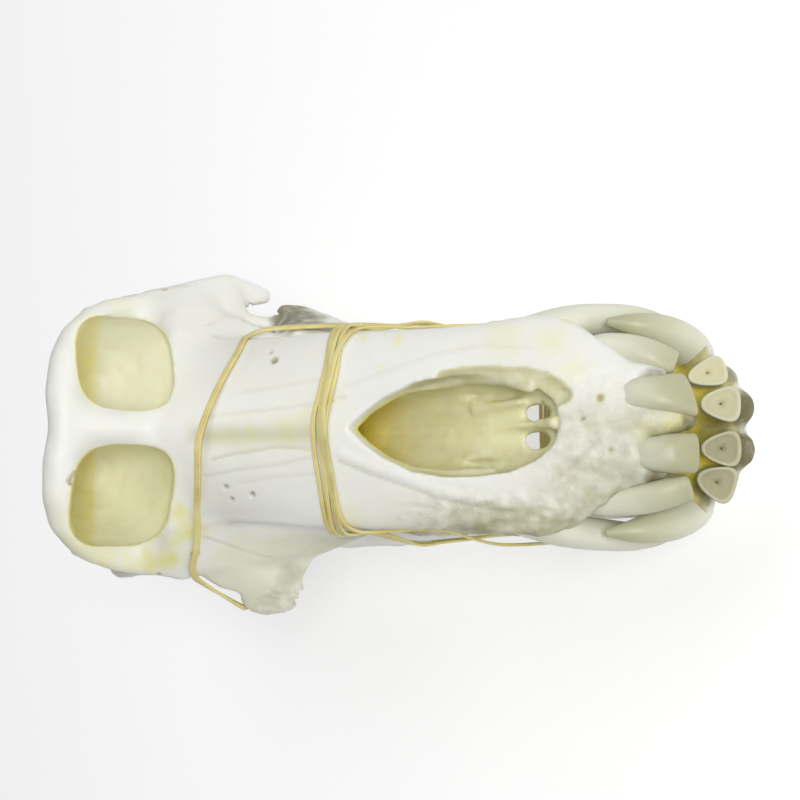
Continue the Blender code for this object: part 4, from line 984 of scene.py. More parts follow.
def bites():
    """Little cutters that leave the broken edges jagged: left cheekbone, its stump, right hook."""
    shapes = []
    view = Vector((0.8, 0, 0.6))
    for x, y, z, r, reach in (
        (3.6, 37.8, 35.2, 0.8, 5), (5, 37, 35.6, 0.8, 5), (1.6, 38, 38.4, 0.6, 5),
        (5.2, 41.2, 31.2, 0.5, 5), (1, 46.4, 41.6, 0.5, 5), (10, 37.4, 30.6, 0.5, 3),
        (9.6, 35.2, 34.6, 0.6, 3),
        (-0.6, -52.6, 36, 0.9, 6), (6.4, -53.6, 27.6, 0.8, 5), (11.4, -49.6, 26.6, 0.9, 5),
        (15.4, -43, 26.6, 1, 5), (13.4, -46.4, 27, 0.7, 5),
    ):
        centre = Vector((x, y, z))
        shapes.append(web((*(centre - view * reach), r), (*(centre + view * reach), r)))
    return shapes


def rim_notch():
    """The piece that is missing from the upper rim of the right eye socket."""
    return web(
        (-0.6, -14.8, 95.7, 1.2), (10.6, -14.8, 104.1, 1.2), (-0.2, -12.6, 94.6, 0.9), (11, -12.6, 103, 0.9),
    )


def within(co, shapes):
    """1 on the walls of the rooms that the shapes cut, falling to 0 away from them."""
    mask = np.zeros(len(co))
    for shape in shapes:
        room = joined("room", [shape])
        lean(room, CRANIUM_LEAN)
        tree = surface_tree([room])
        some = near_line(co, read_mesh(room)[0], 1.5)
        bpy.data.objects.remove(room)
        gaps = np.array([height(tree, Vector(co[i])) for i in some])
        if len(some):
            mask[some] = np.maximum(mask[some], 1 - fade(gaps, 0.2, 0.65))
    return mask


def rough_places(co):
    """The front and right side of the muzzle, and the hook of the right cheekbone."""
    x, y, z = co.T
    rough = 0.6 * fade(x, 98, 114) * fade(z, 6, 10) * (1 - fade(y, 10, 20))
    rough = np.maximum(rough, fade(-y, 13, 20) * fade(x, 56, 84) * (1 - fade(z, 38, 46)) * fade(z, 8, 12))
    hook = fade(-y, 42, 46) * (1 - fade(z, 32, 40)) * fade(x, -4, 0) * (1 - fade(x, 20, 26))
    return np.maximum(rough, hook)


def cranium():
    """The upper skull without its teeth."""
    rng = np.random.default_rng(7)
    obj = joined("form", [muzzle(), braincase()] + face() + base() + cheeks())
    fuse(obj, VOXEL, 4)
    fill_face(obj)
    cut(obj, [mesh_object("cutter", *shape) for shape in cranium_cutters()])
    obj = with_shapes(obj, inside_nose())
    fuse(obj, FINE, 3)
    cut(obj, [joined("cutter", bites()), mesh_object("cutter", *rim_notch())])
    obj.name = "cranium_bone"
    lean(obj, CRANIUM_LEAN)
    tree = surface_tree([obj])
    co, normals = read_mesh(obj)
    x, y, z = co.T
    lift, mask = carve(co, tree, LINES)
    zig_lift, zig_mask = carve(co, tree, SEAMS, rng)
    sockets = within(co, [orbit_cutter(*sizes) for sizes in ORBITS])
    opening, throat, ledge = nose_cutter()
    below = 49.8 - RIM_SLOPE * (x - RIM_START) - z + 1.7 * fade(x, 66, 80)
    nose = within(co, [opening, throat] + nose_holes()) * fade(below, 0.2, 1)
    floor = fade(below, 5, 7) * fade(9.5 - np.abs(y), 0, 0.5) * fade(z, 15.5, 16.5)
    nose = np.maximum(nose, floor * fade(x, 70, 76) * (1 - fade(x, 106, 108)))
    shelf = within(co, [ledge]) * (1 - nose)
    rough = rough_places(co)
    # The walls of the sockets and the nose, which the material paints lighter as bounce light
    inner = np.maximum(sockets, nose)
    lift += zig_lift
    lift += 0.13 * lattice_noise(co, 9, 1) + 0.05 * lattice_noise(co, 3.4, 2)
    streaky = (co + 0.8 * lattice_noise(co, 8, 41)[:, None]) * (0.3, 1, 1)
    grain = 0.5 * lattice_noise(streaky, 2.2, 3) + 0.36 * lattice_noise(streaky, 1.2, 4)
    lift += np.maximum(rough, 0.6 * shelf) * grain * (1 - inner)
    lift += inner * 0.14 * lattice_noise(co * (1, 1, 0.6), 2.8, 5)
    drill(co, lift, mask, tree, HOLES)
    displace(obj, co, normals, lift)
    # How far along each socket and the nose a point lies, from the brow forward
    run = FACING_Z * x - FACING_X * z + 0.5 * lattice_noise(co, 6, 9)
    seen = run - 0.2 * (FACING_X * x + FACING_Z * z - 58.4)
    right = fade(-y, 0, 2)
    roof = sockets * (1 - fade(seen, -67.8, -65))
    # Yellow in the sockets, more towards their fronts and on their right sides, and in the nose: painted
    # bounce light and shade; the ledges in the nose are yellow too
    stain = sockets * (0.03 + 0.15 * fade(run, -57, -48) + 0.25 * right) + nose * 0.5 + shelf * 0.6
    stain += inner * 0.08 * lattice_noise(co, 5, 6)
    # Painted shade: on the roofs of the sockets, and deeper in the nose towards its back
    deep = 0.4 * roof + nose * (0.05 + 0.95 * (1 - fade(run, 4, 24))) * fade(below, 1.5, 4)
    marks = spots(co, tree, STAINS, 2, 1 + 0.35 * lattice_noise(co, 2.2, 8))
    stain = np.maximum(stain, marks * (1 - inner))
    # Painted shade: darker on the right side of the muzzle, towards the right on the front of the upper jaw,
    # on the hook, and on the right cheekbone below its edge; it also tints the stain layer
    film = 0.55 * fade(-y, 14, 26) * fade(x, 62, 94) + 0.5 * fade(-y, 25, 29) * fade(x, 44, 60)
    film = np.maximum(film, (0.24 + 0.18 * fade(-y, 4, 18)) * fade(x, 100, 116) * fade(14 - y, 0, 14))
    film = np.maximum(film, 0.18 * fade(-y, 40, 52))
    film *= (1 + 0.3 * lattice_noise(streaky, 1.5, 33) - 0.35 * rough * grain) * (1 - inner)
    cheek = fade(-y, 26, 32) * (1 - fade(z, 52, 60)) * fade(x, -6, 2) * (1 - fade(x, 44, 56)) * (1 - inner)
    film = np.maximum(film, cheek * (0.04 + 0.3 * fade(x, 16, 36)))
    stain = np.maximum(stain, np.maximum(0.8 * film, 0.26 * cheek))
    # More painted shade on the right walls of the sockets, on the ledges in the nose, and in the nose
    # towards its right and its depth
    film += sockets * right * (0.02 + 0.08 * roof) + 0.22 * shelf
    film += nose * fade(run, 18, 34) * (0.06 + 0.22 * fade(-y, 2, 7))
    film += 0.16 * nose * (1 - fade(run, -2, 16)) * fade(below, 2, 5)
    film += 0.3 * nose * fade(y, 9.5, 11.5) * (1 - fade(below, 4, 9))
    # Painted shade inside the small holes
    pits = [(hx, hy, hz, radius * 1.2, min(0.7, 0.1 + 0.3 * depth)) for hx, hy, hz, radius, depth in HOLES]
    store(
        obj, inner=inner, stain=np.clip(stain, 0, 1), deep=np.clip(deep, 0, 1), rough=rough,
        soil=np.clip(np.maximum(soiling(co, tree, SOILS + pits), film), 0, 1.3),
        groove=np.clip(np.maximum(mask, zig_mask), 0, 1), hollow=hollows(obj, co, normals, lift),
    )
    return obj


# Lines and holes of the lower jaw, as those above
JAW_LINES = [
    (0.5, 0.3, [(134.5, 0.6, -14), (130, 0.6, -24), (122, 0.6, -38), (112, 0.4, -46)]),
] + mirrored([
    (1.6, -0.5, [(12, 33, -6), (4, 34.4, -20), (-4, 34.6, -34)]),
    (1.4, -0.5, [(20, 31, -2), (14, 32.6, 6), (6, 34, 18)]),
    (1.2, -0.35, [(-12, 35.4, -44), (-20, 36, -36), (-28, 36.8, -26)]),
    (1.3, 0.3, [(100, 25, -26), (80, 26, -28), (60, 27, -26), (40, 30, -22)]),
]) + [
    (1.4, -0.5, [(137, 6, -11), (133, 6, -22), (126, 6, -34)]),
    (1.4, -0.5, [(137, -5.4, -11), (133, -5.4, -22), (126, -5.4, -34)]),
    (1.3, -0.45, [(133, 14, -11), (129, 14, -22), (123, 12, -33)]),
    (1.3, -0.45, [(134, -14, -11), (130, -14, -22), (124, -12, -33)]),
]
JAW_HOLES = [
    (98, 24, -28, 0.9, 2.2), (98, -24, -28, 0.9, 2.2), (92, 24, -30, 0.6, 1.4), (92, -24, -30, 0.6, 1.4),
    (4, 25, -2, 1.1, 2.0), (4, -25, -2, 1.1, 2.0), (121, 4, -39, 0.5, 1.0), (117, -5, -42, 0.5, 1.0),
]
# Painted shade on the lower jaw, on the chin and round its front teeth, as (x, y, z, radius, strength)
JAW_SOILS = [
    (133, 0, -12, 7, 0.8), (140, 6, -17, 7, 1.15), (140, -6, -17, 7, 1.15), (132, 17, -14, 7, 0.9),
    (132, -17, -14, 7, 1.1), (124, 20, -14, 6, 0.9), (124, -20, -14, 6, 1.0), (112, 18, -12, 6, 0.8),
    (112, -18, -12, 6, 0.9), (136, 0, -26, 8, 0.7), (134, 10, -24, 7, 0.6), (134, -10, -24, 7, 0.7),
]


def jawbone():
    """The lower jaw without its teeth."""
    obj = joined("form", mandible_forms())
    fuse(obj, VOXEL, 6)
    fuse(obj, FINE, 3)
    obj.name = "jawbone"
    lean(obj, MANDIBLE_LEAN)
    tree = surface_tree([obj])
    co, normals = read_mesh(obj)
    lift, mask = carve(co, tree, JAW_LINES)
    x, _, z = co.T
    chin = fade(x, 100, 116) * (1 - fade(z, -16, -12))
    angle = (1 - fade(x, -4, 10)) * (1 - fade(z, -26, -14))
    lift += 0.14 * lattice_noise(co, 8, 11) + 0.05 * lattice_noise(co, 3, 12)
    grain = 0.24 * lattice_noise(co, 2.4, 13) + 0.14 * lattice_noise(co, 1.4, 14)
    lift += (0.7 * chin + 0.9 * angle) * grain
    drill(co, lift, mask, tree, JAW_HOLES)
    lift = np.minimum(lift, 0.12 + 0.5 * fade(z, FLOOR_Z + 1, FLOOR_Z + 5))
    displace(obj, co, normals, lift)
    # Yellower towards the base of the jaw, and painted shade in the gum between the front teeth, in both the
    # stain and the recess layers
    stain = 0.25 * (1 - fade(z, -46, -30)) * (0.6 + 0.4 * lattice_noise(co, 7, 15))
    stain = np.maximum(stain, 0.5 * fade(x, 108, 124) * fade(z, -20, -12))
    store(
        obj, inner=0 * x, stain=np.clip(stain, 0, 1), deep=fade(x, 114, 124) * fade(z, -17, -11),
        rough=np.maximum(chin, angle), soil=soiling(co, tree, JAW_SOILS), groove=mask,
        hollow=hollows(obj, co, normals, lift),
    )
    return obj


def smooth_rows(rows, steps):
    """Rows of numbers with more rows between them, on smooth curves through the given ones."""
    rows = np.array(rows, float)
    last = len(rows) - 1
    out = []
    for i in range(last):
        four = rows[max(i - 1, 0)], rows[i], rows[i + 1], rows[min(i + 2, last)]
        out += [curve(*four, k / steps) for k in range(steps)]
    out.append(rows[-1])
    return out


def tooth(side, stations, along, power=2.4, normal=None, worn=False, taper=0.0, slant=0.0):
    """A tooth as sections along its length, root first: (centre, half length, half width).

    The rows are those of a left tooth, and the side is -1 for a right one. A worn tooth ends in a
    flat face that dips towards the hole left by its pulp. A slanted one has its end at an angle.
    """
    rows = smooth_rows([(x, y * side, z, a, b) for (x, y, z), a, b in stations], TOOTH_STEPS)
    along = Vector((along[0], along[1] * side, along[2]))
    rings = []
    for i, row in enumerate(rows):
        before = rows[max(i - 1, 0)]
        after = rows[min(i + 1, len(rows) - 1)]
        axis = Vector(after[:3] - before[:3]).normalized() if normal is None else Vector(normal)
        across = axis.cross(along).normalized()
        run = across.cross(axis).normalized() + axis * slant * (i / len(rows)) ** 2
        narrowing = taper * min(1.0, 2 * i / len(rows))
        rings.append(section_ring(row[:3], run, across, row[3], row[4], power, narrowing))
    end = Vector(rows[-1][:3])
    a, b = rows[-1][3:]
    closing = [(0.94, 0.42), (0.8, 0.62), (0.55, 0.72), (0.25, 0.76)]
    if worn:
        closing = [(0.98, 0.2), (0.94, 0.32), (0.86, 0.32), (0.8, 0.2), (0.6, 0.12), (0.36, 0.1),
            (0.1, 0.05), (0.07, -0.3), (0.04, -0.6)]
    reach = min(a, b) if not worn else 1.0
    for grow, rise in closing:
        centre = end + axis * rise * reach
        rings.append(section_ring(centre, run, across, a * grow, b * grow, power, taper))
    return loft(rings)


def upper_front():
    teeth = []
    for side, turn, back, half in ((1, -0.37, 0, 5.6), (-1, 0.0, 2.6, 5.1)):
        teeth.append(tooth(side, [
            ((112, 6.6, 9.5 - back), 2.4, 2.6), ((120 + back, 7.2, 9.1 - back * 0.8), 3.0, 3.2),
            ((125 + back, 7.5, 7.9 - back * 0.4), 4.1, 3.9),
            ((130 + back, 7.4, 4.9 - back * 0.2), 5.0, 3.7), ((134.2 + back * 0.7, 7.3, 0.9), half, 2.3),
        ], along=(turn, 1, 0), power=2.7, slant=-0.34 if side > 0 else 0.0))
    for side, ahead in ((1, 0), (-1, 5)):
        teeth.append(tooth(side, [
            ((104, 18, 10.5), 2.2, 2.4), ((113, 20.2, 9.8), 2.9, 3.2),
            ((119 + ahead * 0.5, 19.6, 7.6), 3.6, 3.5), ((125 + ahead * 0.8, 17.8, 4.3), 3.9, 3.2),
            ((129.2 + ahead, 15.9, 0.8), 3.4, 1.9),
        ], along=(-0.4, 0.92, 0)))
    return teeth


def upper_canines():
    return [tooth(side, [
        ((94, 23.5, 24), 4, 3.4), ((100.5, 26, 15), 6.2, 4.4), ((104, 27.6, 7), 6.6, 4.4),
        ((106, 28.6, -4), 6.2, 4.1), ((106.4, 29, -13), 5.2, 3.6), ((106, 28.6, -22), 3.8, 2.9),
        ((105, 27.8, -29), 2.2, 1.9), ((104.4, 27, -33), 0.8, 0.8),
    ], along=(1, 0.1, 0), power=2.2) for side in (1, -1)]


def lower_front():
    teeth = []
    for side, x, y, half in (
        (1, 138.4, 6, 4), (-1, 138.6, 5.3, 4), (1, 134.2, 14, 3.4), (-1, 137.2, 13.8, 4.2),
    ):
        teeth.append(tooth(side, [
            ((x - 18, y * 0.8, -28), 2.4, 3.2), ((x - 11, y * 0.88, -20.5), 3.2, 4),
            ((x - 4.6, y * 0.95, -13), half * 0.9, 4.8), ((x, y, -7.6), half, 5),
        ], along=(-0.4 if y > 10 else 0, 1, 0), power=2.6, worn=True, taper=-0.42 * side))
    return teeth


def lower_canines():
    """The lower canines, each followed by the low tooth behind it that hones the upper one."""
    teeth = []
    for side in (1, -1):
        teeth.append(tooth(side, [
            ((110, 14, -34), 3.2, 4), ((118, 19, -23), 5, 5.8), ((122.6, 22, -13), 5.2, 5.6),
            ((123.2, 24.6, -5), 4.5, 4.5), ((120.4, 26.2, 3), 3.2, 3.2), ((115.8, 27, 9), 1, 1.1),
        ], along=(0.8, -0.6, 0), power=2.2))
        teeth.append(tooth(side, [
            ((99, 17, -22), 4.4, 3), ((101, 19, -12), 7.4, 3.4), ((98, 19.8, -5), 5.8, 3.2),
            ((94.5, 20, -1.4), 2.4, 2.2),
        ], along=(0.97, -0.25, 0), normal=(0, 0, 1)))
    return teeth


def grinder(x, y, length, width, gum_z, tip_z, root_z, lobes, side):
    """A molar or premolar with paired cusps worn low, a waist between them and a fissure across."""
    rise = tip_z - gum_z
    rings = []
    profile = [
        (root_z, 0.74), (gum_z - rise * 0.1, 0.84), (gum_z, 0.9), (gum_z + rise * 0.15, 0.99),
        (gum_z + rise * 0.3, 1.03), (gum_z + rise * 0.5, 1.01), (gum_z + rise * 0.7, 0.95),
        (gum_z + rise * 0.82, 0.87), (gum_z + rise * 0.9, 0.76), (gum_z + rise * 0.93, 0.62),
        (gum_z + rise * 0.9, 0.46), (gum_z + rise * 0.84, 0.3), (gum_z + rise * 0.8, 0.14),
    ]
    for z, grow in profile:
        height_share = (z - gum_z) / rise
        ring = []
        for i in range(GRINDER_SIDES):
            u, v = corners(2 * math.pi * (i + 0.5) / GRINDER_SIDES, 0.62)
            waist = 0.5 + 0.5 * math.cos(math.pi * (u * lobes + (lobes + 1) % 2))
            narrow = 1 - 0.1 * (1 - waist) * min(1.0, max(0.0, height_share * 2)) * (lobes > 1)
            cusp = 0.35 * abs(v) + 0.65 * waist if lobes > 1 else 0.4 + 0.4 * abs(v)
            drop = (1 - cusp) * 0.3 * max(0.0, height_share - 0.55) / 0.38
            ring.append((
                x + u * length / 2 * grow, (y + v * width / 2 * grow * narrow) * side, z - rise * drop,
            ))
        rings.append(ring)
    return loft(rings)


def cheek_teeth(rows, gum_z, tip_z, root_z):
    return [
        grinder(x, y, length, width, gum_z, tip_z, root_z, lobes, side)
        for side in (1, -1) for x, y, length, width, lobes in rows
    ]


# Molars and premolars as (x, y, length, width, lobes)
UPPER_GRINDERS = [
    (90, 22.6, 7.9, 8.2, 1), (82, 22.6, 8.2, 9.4, 1), (71.2, 22.4, 12.6, 10.6, 2),
    (58, 22.4, 14.2, 11.6, 2), (43.8, 22.2, 14.6, 11.6, 2),
]
LOWER_GRINDERS = [
    (86.8, 19.6, 9.4, 7.6, 1), (76.2, 20, 12, 8.6, 2), (62.8, 20.4, 14.6, 10, 2),
    (46.6, 21.2, 17.8, 10.4, 3),
]


def tooth_row(name, teeth, lean_by, shade):
    """One object for several teeth, with a gradient from gum to tip and each tooth's own darkening: a random
    tone, and painted shade on the right front teeth.
    """
    rng = np.random.default_rng(len(name))
    rise = []
    own = []
    for k, (points, polygons) in enumerate(teeth):
        sides = len(polygons[-1])
        rings = len(points) // sides
        rise += [i // sides / (rings - 1) for i in range(len(points))]
        own += [shade[k % len(shade)] + 0.1 * (rng.random() - 0.5)] * len(points)
    obj = joined(name, teeth)
    lean(obj, lean_by)
    co, normals = read_mesh(obj)
    displace(obj, co, normals, 0.06 * lattice_noise(co, 4, 21))
    store(obj, rise=np.array(rise), own=np.array(own))
    return obj


# Section of a strip, as shares of half its width and thickness, and where its underside starts
STRIP = [
    (1, 0), (0.94, 0.7), (0.7, 0.95), (0.35, 0.8), (0, 0.92), (-0.35, 0.8), (-0.7, 0.95), (-0.94, 0.7),
    (-1, 0), (-0.94, -0.7), (-0.7, -0.95), (0, -1), (0.7, -0.95), (0.94, -0.7),
]
UNDERSIDE = 8

# Where the bands lie on the bones or span from one to the next
MUZZLE_SIDE = [
    (55, 28, 47), (53.5, 27.5, 36), (52.5, 30.8, 18), (51.5, 30.6, 8), (50, 30, -4), (48, 29.2, -20),
    (46, 28, -36), (45, 22, -43.5), (45, 10, -44),
]
MUZZLE_PATH = [
    (56.8, 1.6, 56), (57.2, 6, 55.5), (57.5, 12, 54.3), (57.2, 18, 52.7), (56.4, 22.6, 51.4),
] + MUZZLE_SIDE + [(x, -y, z) for x, y, z in reversed(MUZZLE_SIDE)] + [
    (56.8, -22, 51.4), (57.5, -14, 53.7), (57.3, -6, 55.4),
]
BROW_PATH = [
    (29.6, 1.1, 74.3), (30, 8.5, 71.2), (30, 16.3, 66.7), (29.5, 21, 63), (28, 24, 60),
    (25.5, 26.4, 56), (24.3, 28, 52), (26.5, 29, 47), (31, 29.8, 39), (36, 30.4, 31), (40.5, 30.8, 24),
    (40, 31.2, 8), (38, 30.8, -6), (34, 30.2, -22), (29, 31.2, -36), (24, 25, -43.5), (12, 12, -43.5),
    (-8, -10, -43), (-22, -26, -42), (-30, -32, -31), (-35.5, -34, -18), (-37.5, -35, -4),
    (-30, -38, 10), (-16, -44, 24), (-5, -49.8, 33), (0.4, -51.6, 36.6), (1.2, -50.8, 40),
    (0.8, -47.6, 46), (0.6, -43.8, 53), (3.5, -40.4, 58.8), (10.6, -29.5, 62.6), (16.5, -22.6, 66.5),
    (22.2, -16.8, 70.5), (27, -8.9, 74), (28.5, -4, 75),
]
LONG_PATH = [
    (58.6, 3, 56.4), (58.8, 14, 54), (58.8, 21, 51.8), (60, 26.4, 47.6), (65, 27.4, 42.6), (74, 26.4, 37.2),
    (84, 26, 30.8), (91, 27.6, 22), (94, 29.6, 12), (96, 30.4, 2), (97, 28.6, -10), (98, 25.6, -24),
    (98.6, 22.4, -38), (98.6, 15, -46), (98.6, 0, -46.6), (98.6, -15, -46), (97, -22.4, -38),
    (92, -26.2, -24), (86, -29.4, -10), (79, -30.6, 0), (75, -30.6, 8), (73, -28.6, 17),
    (71, -26.8, 24), (68, -26.6, 31), (63.6, -27, 39), (59.6, -27.2, 45.4), (58.8, -23.4, 50.4),
    (59, -14, 53.2),
]


def strand(path, size, tree, sway=lambda t: 0.0, raise_by=lambda t: 0.0):
    """One flat closed strip of rubber along the path, kept clear of the bones."""
    wide = size[0] / 2
    thick = size[1] / 2
    clear = thick + BAND_GAP
    points = closed_spline(path, BAND_STEPS)
    middle = sum(points, Vector()) / BAND_STEPS
    for _ in range(5):
        moved = []
        outward = []
        for i, p in enumerate(points):
            p = p.lerp((points[i - 1] + points[(i + 1) % BAND_STEPS]) / 2, 0.3)
            hit, normal, _, distance = tree.find_nearest(p)
            if (p - hit).dot(normal) < 0:
                p = hit + normal * clear
            elif distance < clear:
                p = hit + (p - hit).normalized() * clear
            p.z = max(p.z, FLOOR_Z + clear)
            moved.append(p)
            outward.append(normal.copy() if distance < 3 else (p - middle).normalized())
        points = moved
    for _ in range(12):
        after = outward[1:] + outward[:1]
        before = outward[-1:] + outward[:-1]
        outward = [(a + b * 2 + c).normalized() for a, b, c in zip(before, outward, after)]
    frames = []
    for i in range(BAND_STEPS):
        along = (points[(i + 1) % BAND_STEPS] - points[i - 1]).normalized()
        across = along.cross(outward[i]).normalized()
        frames.append((across, across.cross(along)))

    def skin(points):
        return [
            [p + across * wide * a + out * thick * b for a, b in STRIP]
            for p, (across, out) in zip(points, frames)
        ]

    shares = [i / BAND_STEPS for i in range(BAND_STEPS)]
    points = [p + across * sway(t) for p, (across, _), t in zip(points, frames, shares)]
    for _ in range(3):
        # What each section's underside lacks of its distance to the bones, eased along the strip
        gaps = [min(height(tree, q) for q in ring[UNDERSIDE:]) for ring in skin(points)]
        lacks = [max(0.0, BAND_GAP - gap) for gap in gaps]
        eased = [max(a * 0.8, b, c * 0.8) for a, b, c in zip(lacks[-1:] + lacks, lacks, lacks[1:] + lacks)]
        points = [p + out * lack for p, (_, out), lack in zip(points, frames, eased)]
    points = [p + out * raise_by(t) for p, (_, out), t in zip(points, frames, shares)]
    count = len(STRIP)
    faces = []
    for i in range(BAND_STEPS):
        n = (i + 1) % BAND_STEPS
        for j in range(count):
            k = (j + 1) % count
            faces.append((i * count + j, n * count + j, n * count + k, i * count + k))
    return [tuple(q) for ring in skin(points) for q in ring], faces


def rubber_object(name, strips):
    """One object for several strips, with their faces turned outward."""
    obj = joined(name, strips)
    bm = bmesh.new()
    bm.from_mesh(obj.data)
    bmesh.ops.recalc_face_normals(bm, faces=bm.faces)
    bm.to_mesh(obj.data)
    bm.free()
    obj.data.polygons.foreach_set("use_smooth", [True] * len(obj.data.polygons))
    return obj


def muzzle_band(tree):
    """Four turns of the band side by side, crossing here and there, and one that runs on forward."""
    strips = []
    for k, (offset, wide) in enumerate(((-1.9, 1.3), (-0.7, 1.2), (0.5, 1.2), (1.7, 1.3))):
        def sway(t, offset=offset, k=k):
            waist = 0.62 + 0.38 * math.cos(4 * math.pi * t + 1.2)
            return offset * (0.8 + 0.2 * waist) + 0.4 * math.sin(8 * math.pi * t + 2.1 * k)

        def raise_by(t, k=k):
            return 0.16 + 0.16 * math.cos(8 * math.pi * t + 2.1 * k + 0.6)

        strips.append(strand(MUZZLE_PATH, (wide, STRIP_THICK), tree, sway, raise_by))
    strips.append(strand(LONG_PATH, (1.3, STRIP_THICK), tree))
    return rubber_object("muzzle_band", strips)


def brow_band(tree):
    return rubber_object("brow_band", [strand(BROW_PATH, (1.8, 1.0), tree)])


def node(tree, kind, **inputs):
    made = tree.nodes.new(kind)
    for key, value in inputs.items():
        made.inputs[key.replace("_", " ")].default_value = value
    return made


def noise_node(tree, place, scale, detail=4.0, roughness=0.55):
    made = node(tree, "ShaderNodeTexNoise", Scale=scale, Detail=detail, Roughness=roughness)
    tree.links.new(place, made.inputs["Vector"])
    return made.outputs["Fac"]


def mixed(tree, factor, first, second):
    """A colour that goes from the first to the second with the factor."""
    made = tree.nodes.new("ShaderNodeMix")
    made.data_type = "RGBA"
    tree.links.new(factor, made.inputs[0])
    for value, target in ((first, made.inputs[6]), (second, made.inputs[7])):
        if isinstance(value, tuple):
            target.default_value = (*value, 1)
        else:
            tree.links.new(value, target)
    return made.outputs[2]


def product(tree, first, second):
    """The product of a value and another value or a number, kept between 0 and 1."""
    made = tree.nodes.new("ShaderNodeMath")
    made.operation = "MULTIPLY"
    made.use_clamp = True
    tree.links.new(first, made.inputs[0])
    if isinstance(second, float):
        made.inputs[1].default_value = second
    else:
        tree.links.new(second, made.inputs[1])
    return made.outputs[0]


def ranged(tree, value, low, high, to_low, to_high):
    made = node(tree, "ShaderNodeMapRange", From_Min=low, From_Max=high, To_Min=to_low, To_Max=to_high)
    tree.links.new(value, made.inputs["Value"])
    return made.outputs["Result"]


def attribute(tree, name):
    made = tree.nodes.new("ShaderNodeAttribute")
    made.attribute_name = name
    return made.outputs["Fac"]


def new_material(name):
    made = bpy.data.materials.new(name)
    made.use_nodes = True
    tree = made.node_tree
    place = tree.nodes.new("ShaderNodeTexCoord").outputs["Object"]
    return made, tree, tree.nodes["Principled BSDF"], place


def layered(tree, colour, layers):
    """A colour with others laid over it, each with its factor."""
    for factor, over in layers:
        colour = mixed(tree, factor, colour, over)
    return colour


def finish(tree, shader, colour, gloss, roughness, bumps, glow):
    """Links a material's colour, roughness, bumps and glow.

    The bumps are (value, distance in millimetres, strength), the glow is (weight, radius, scale).
    """
    tree.links.new(colour, shader.inputs["Base Color"])
    tree.links.new(ranged(tree, gloss, 0.3, 0.7, *roughness), shader.inputs["Roughness"])
    last = None
    for value, distance, strength in bumps:
        made = node(tree, "ShaderNodeBump", Distance=distance * MM, Strength=strength)
        tree.links.new(value, made.inputs["Height"])
        if last is not None:
            tree.links.new(last, made.inputs["Normal"])
        last = made.outputs["Normal"]
    tree.links.new(last, shader.inputs["Normal"])
    for name, value in zip(("Weight", "Radius", "Scale"), glow):
        shader.inputs["Subsurface " + name].default_value = value


BONE_LIGHT = (0.79, 0.795, 0.755)
BONE_WARM = (0.78, 0.775, 0.71)
BONE_INNER = (0.90, 0.905, 0.78)
BONE_STAIN = (0.76, 0.73, 0.28)
BONE_DEEP = (0.97, 0.80, 0.06)
BONE_SEAM = (0.48, 0.45, 0.27)
BONE_SOIL = (0.155, 0.135, 0.058)
RUBBER = (0.72, 0.64, 0.29)
RUBBER_AGED = (0.60, 0.50, 0.18)
ENAMEL = (0.62, 0.62, 0.46)
ENAMEL_AGED = (0.44, 0.425, 0.26)
ENAMEL_CLEAR = (0.64, 0.64, 0.50)
ROOT = (0.74, 0.75, 0.63)
TIP = (0.37, 0.35, 0.19)
GUM_LINE = (0.42, 0.385, 0.19)
DENTINE = (0.64, 0.60, 0.35)
DENTINE_AGED = (0.27, 0.25, 0.13)
PULP_HOLE = (0.17, 0.13, 0.06)


def bone_material():
    made, tree, shader, place = new_material("bone")
    broad = noise_node(tree, place, 45)
    middle = noise_node(tree, place, 260)
    fine = noise_node(tree, place, 1500, 3.0)
    uneven = ranged(tree, middle, 0.3, 0.7, 0.72, 1.15)
    colour = layered(tree, BONE_LIGHT, [
        (ranged(tree, broad, 0.35, 0.7, 0, 1), BONE_WARM),
        (ranged(tree, middle, 0.6, 0.8, 0, 0.35), BONE_WARM),
        # Painted bounce light: the walls of the sockets and the nose are lighter
        (attribute(tree, "inner"), BONE_INNER),
        # Yellow stains, with painted shade and bounce light in the same layer
        (product(tree, attribute(tree, "stain"), uneven), BONE_STAIN),
        # Painted shade: saturated yellow in the recesses
        (product(tree, attribute(tree, "deep"), uneven), BONE_DEEP),
        # Dark seams, and painted shade in the broader grooves and the small holes
        (product(tree, attribute(tree, "groove"), 0.55), BONE_SEAM),
        # Painted shade in the hollows of the surface
        (product(tree, attribute(tree, "hollow"), 0.5), BONE_SEAM),
        # Dirt, and painted shade on the side away from the light and in the gaps
        (product(tree, attribute(tree, "soil"), uneven), BONE_SOIL),
    ])
    coarse = product(tree, attribute(tree, "rough"), noise_node(tree, place, 700, 3.0))
    bumps = [(middle, 0.35, 0.2), (fine, 0.1, 0.3), (coarse, 0.55, 0.6)]
    finish(tree, shader, colour, middle, (0.42, 0.6), bumps, (0.12, (1.0, 0.8, 0.5), 0.002))
    return made


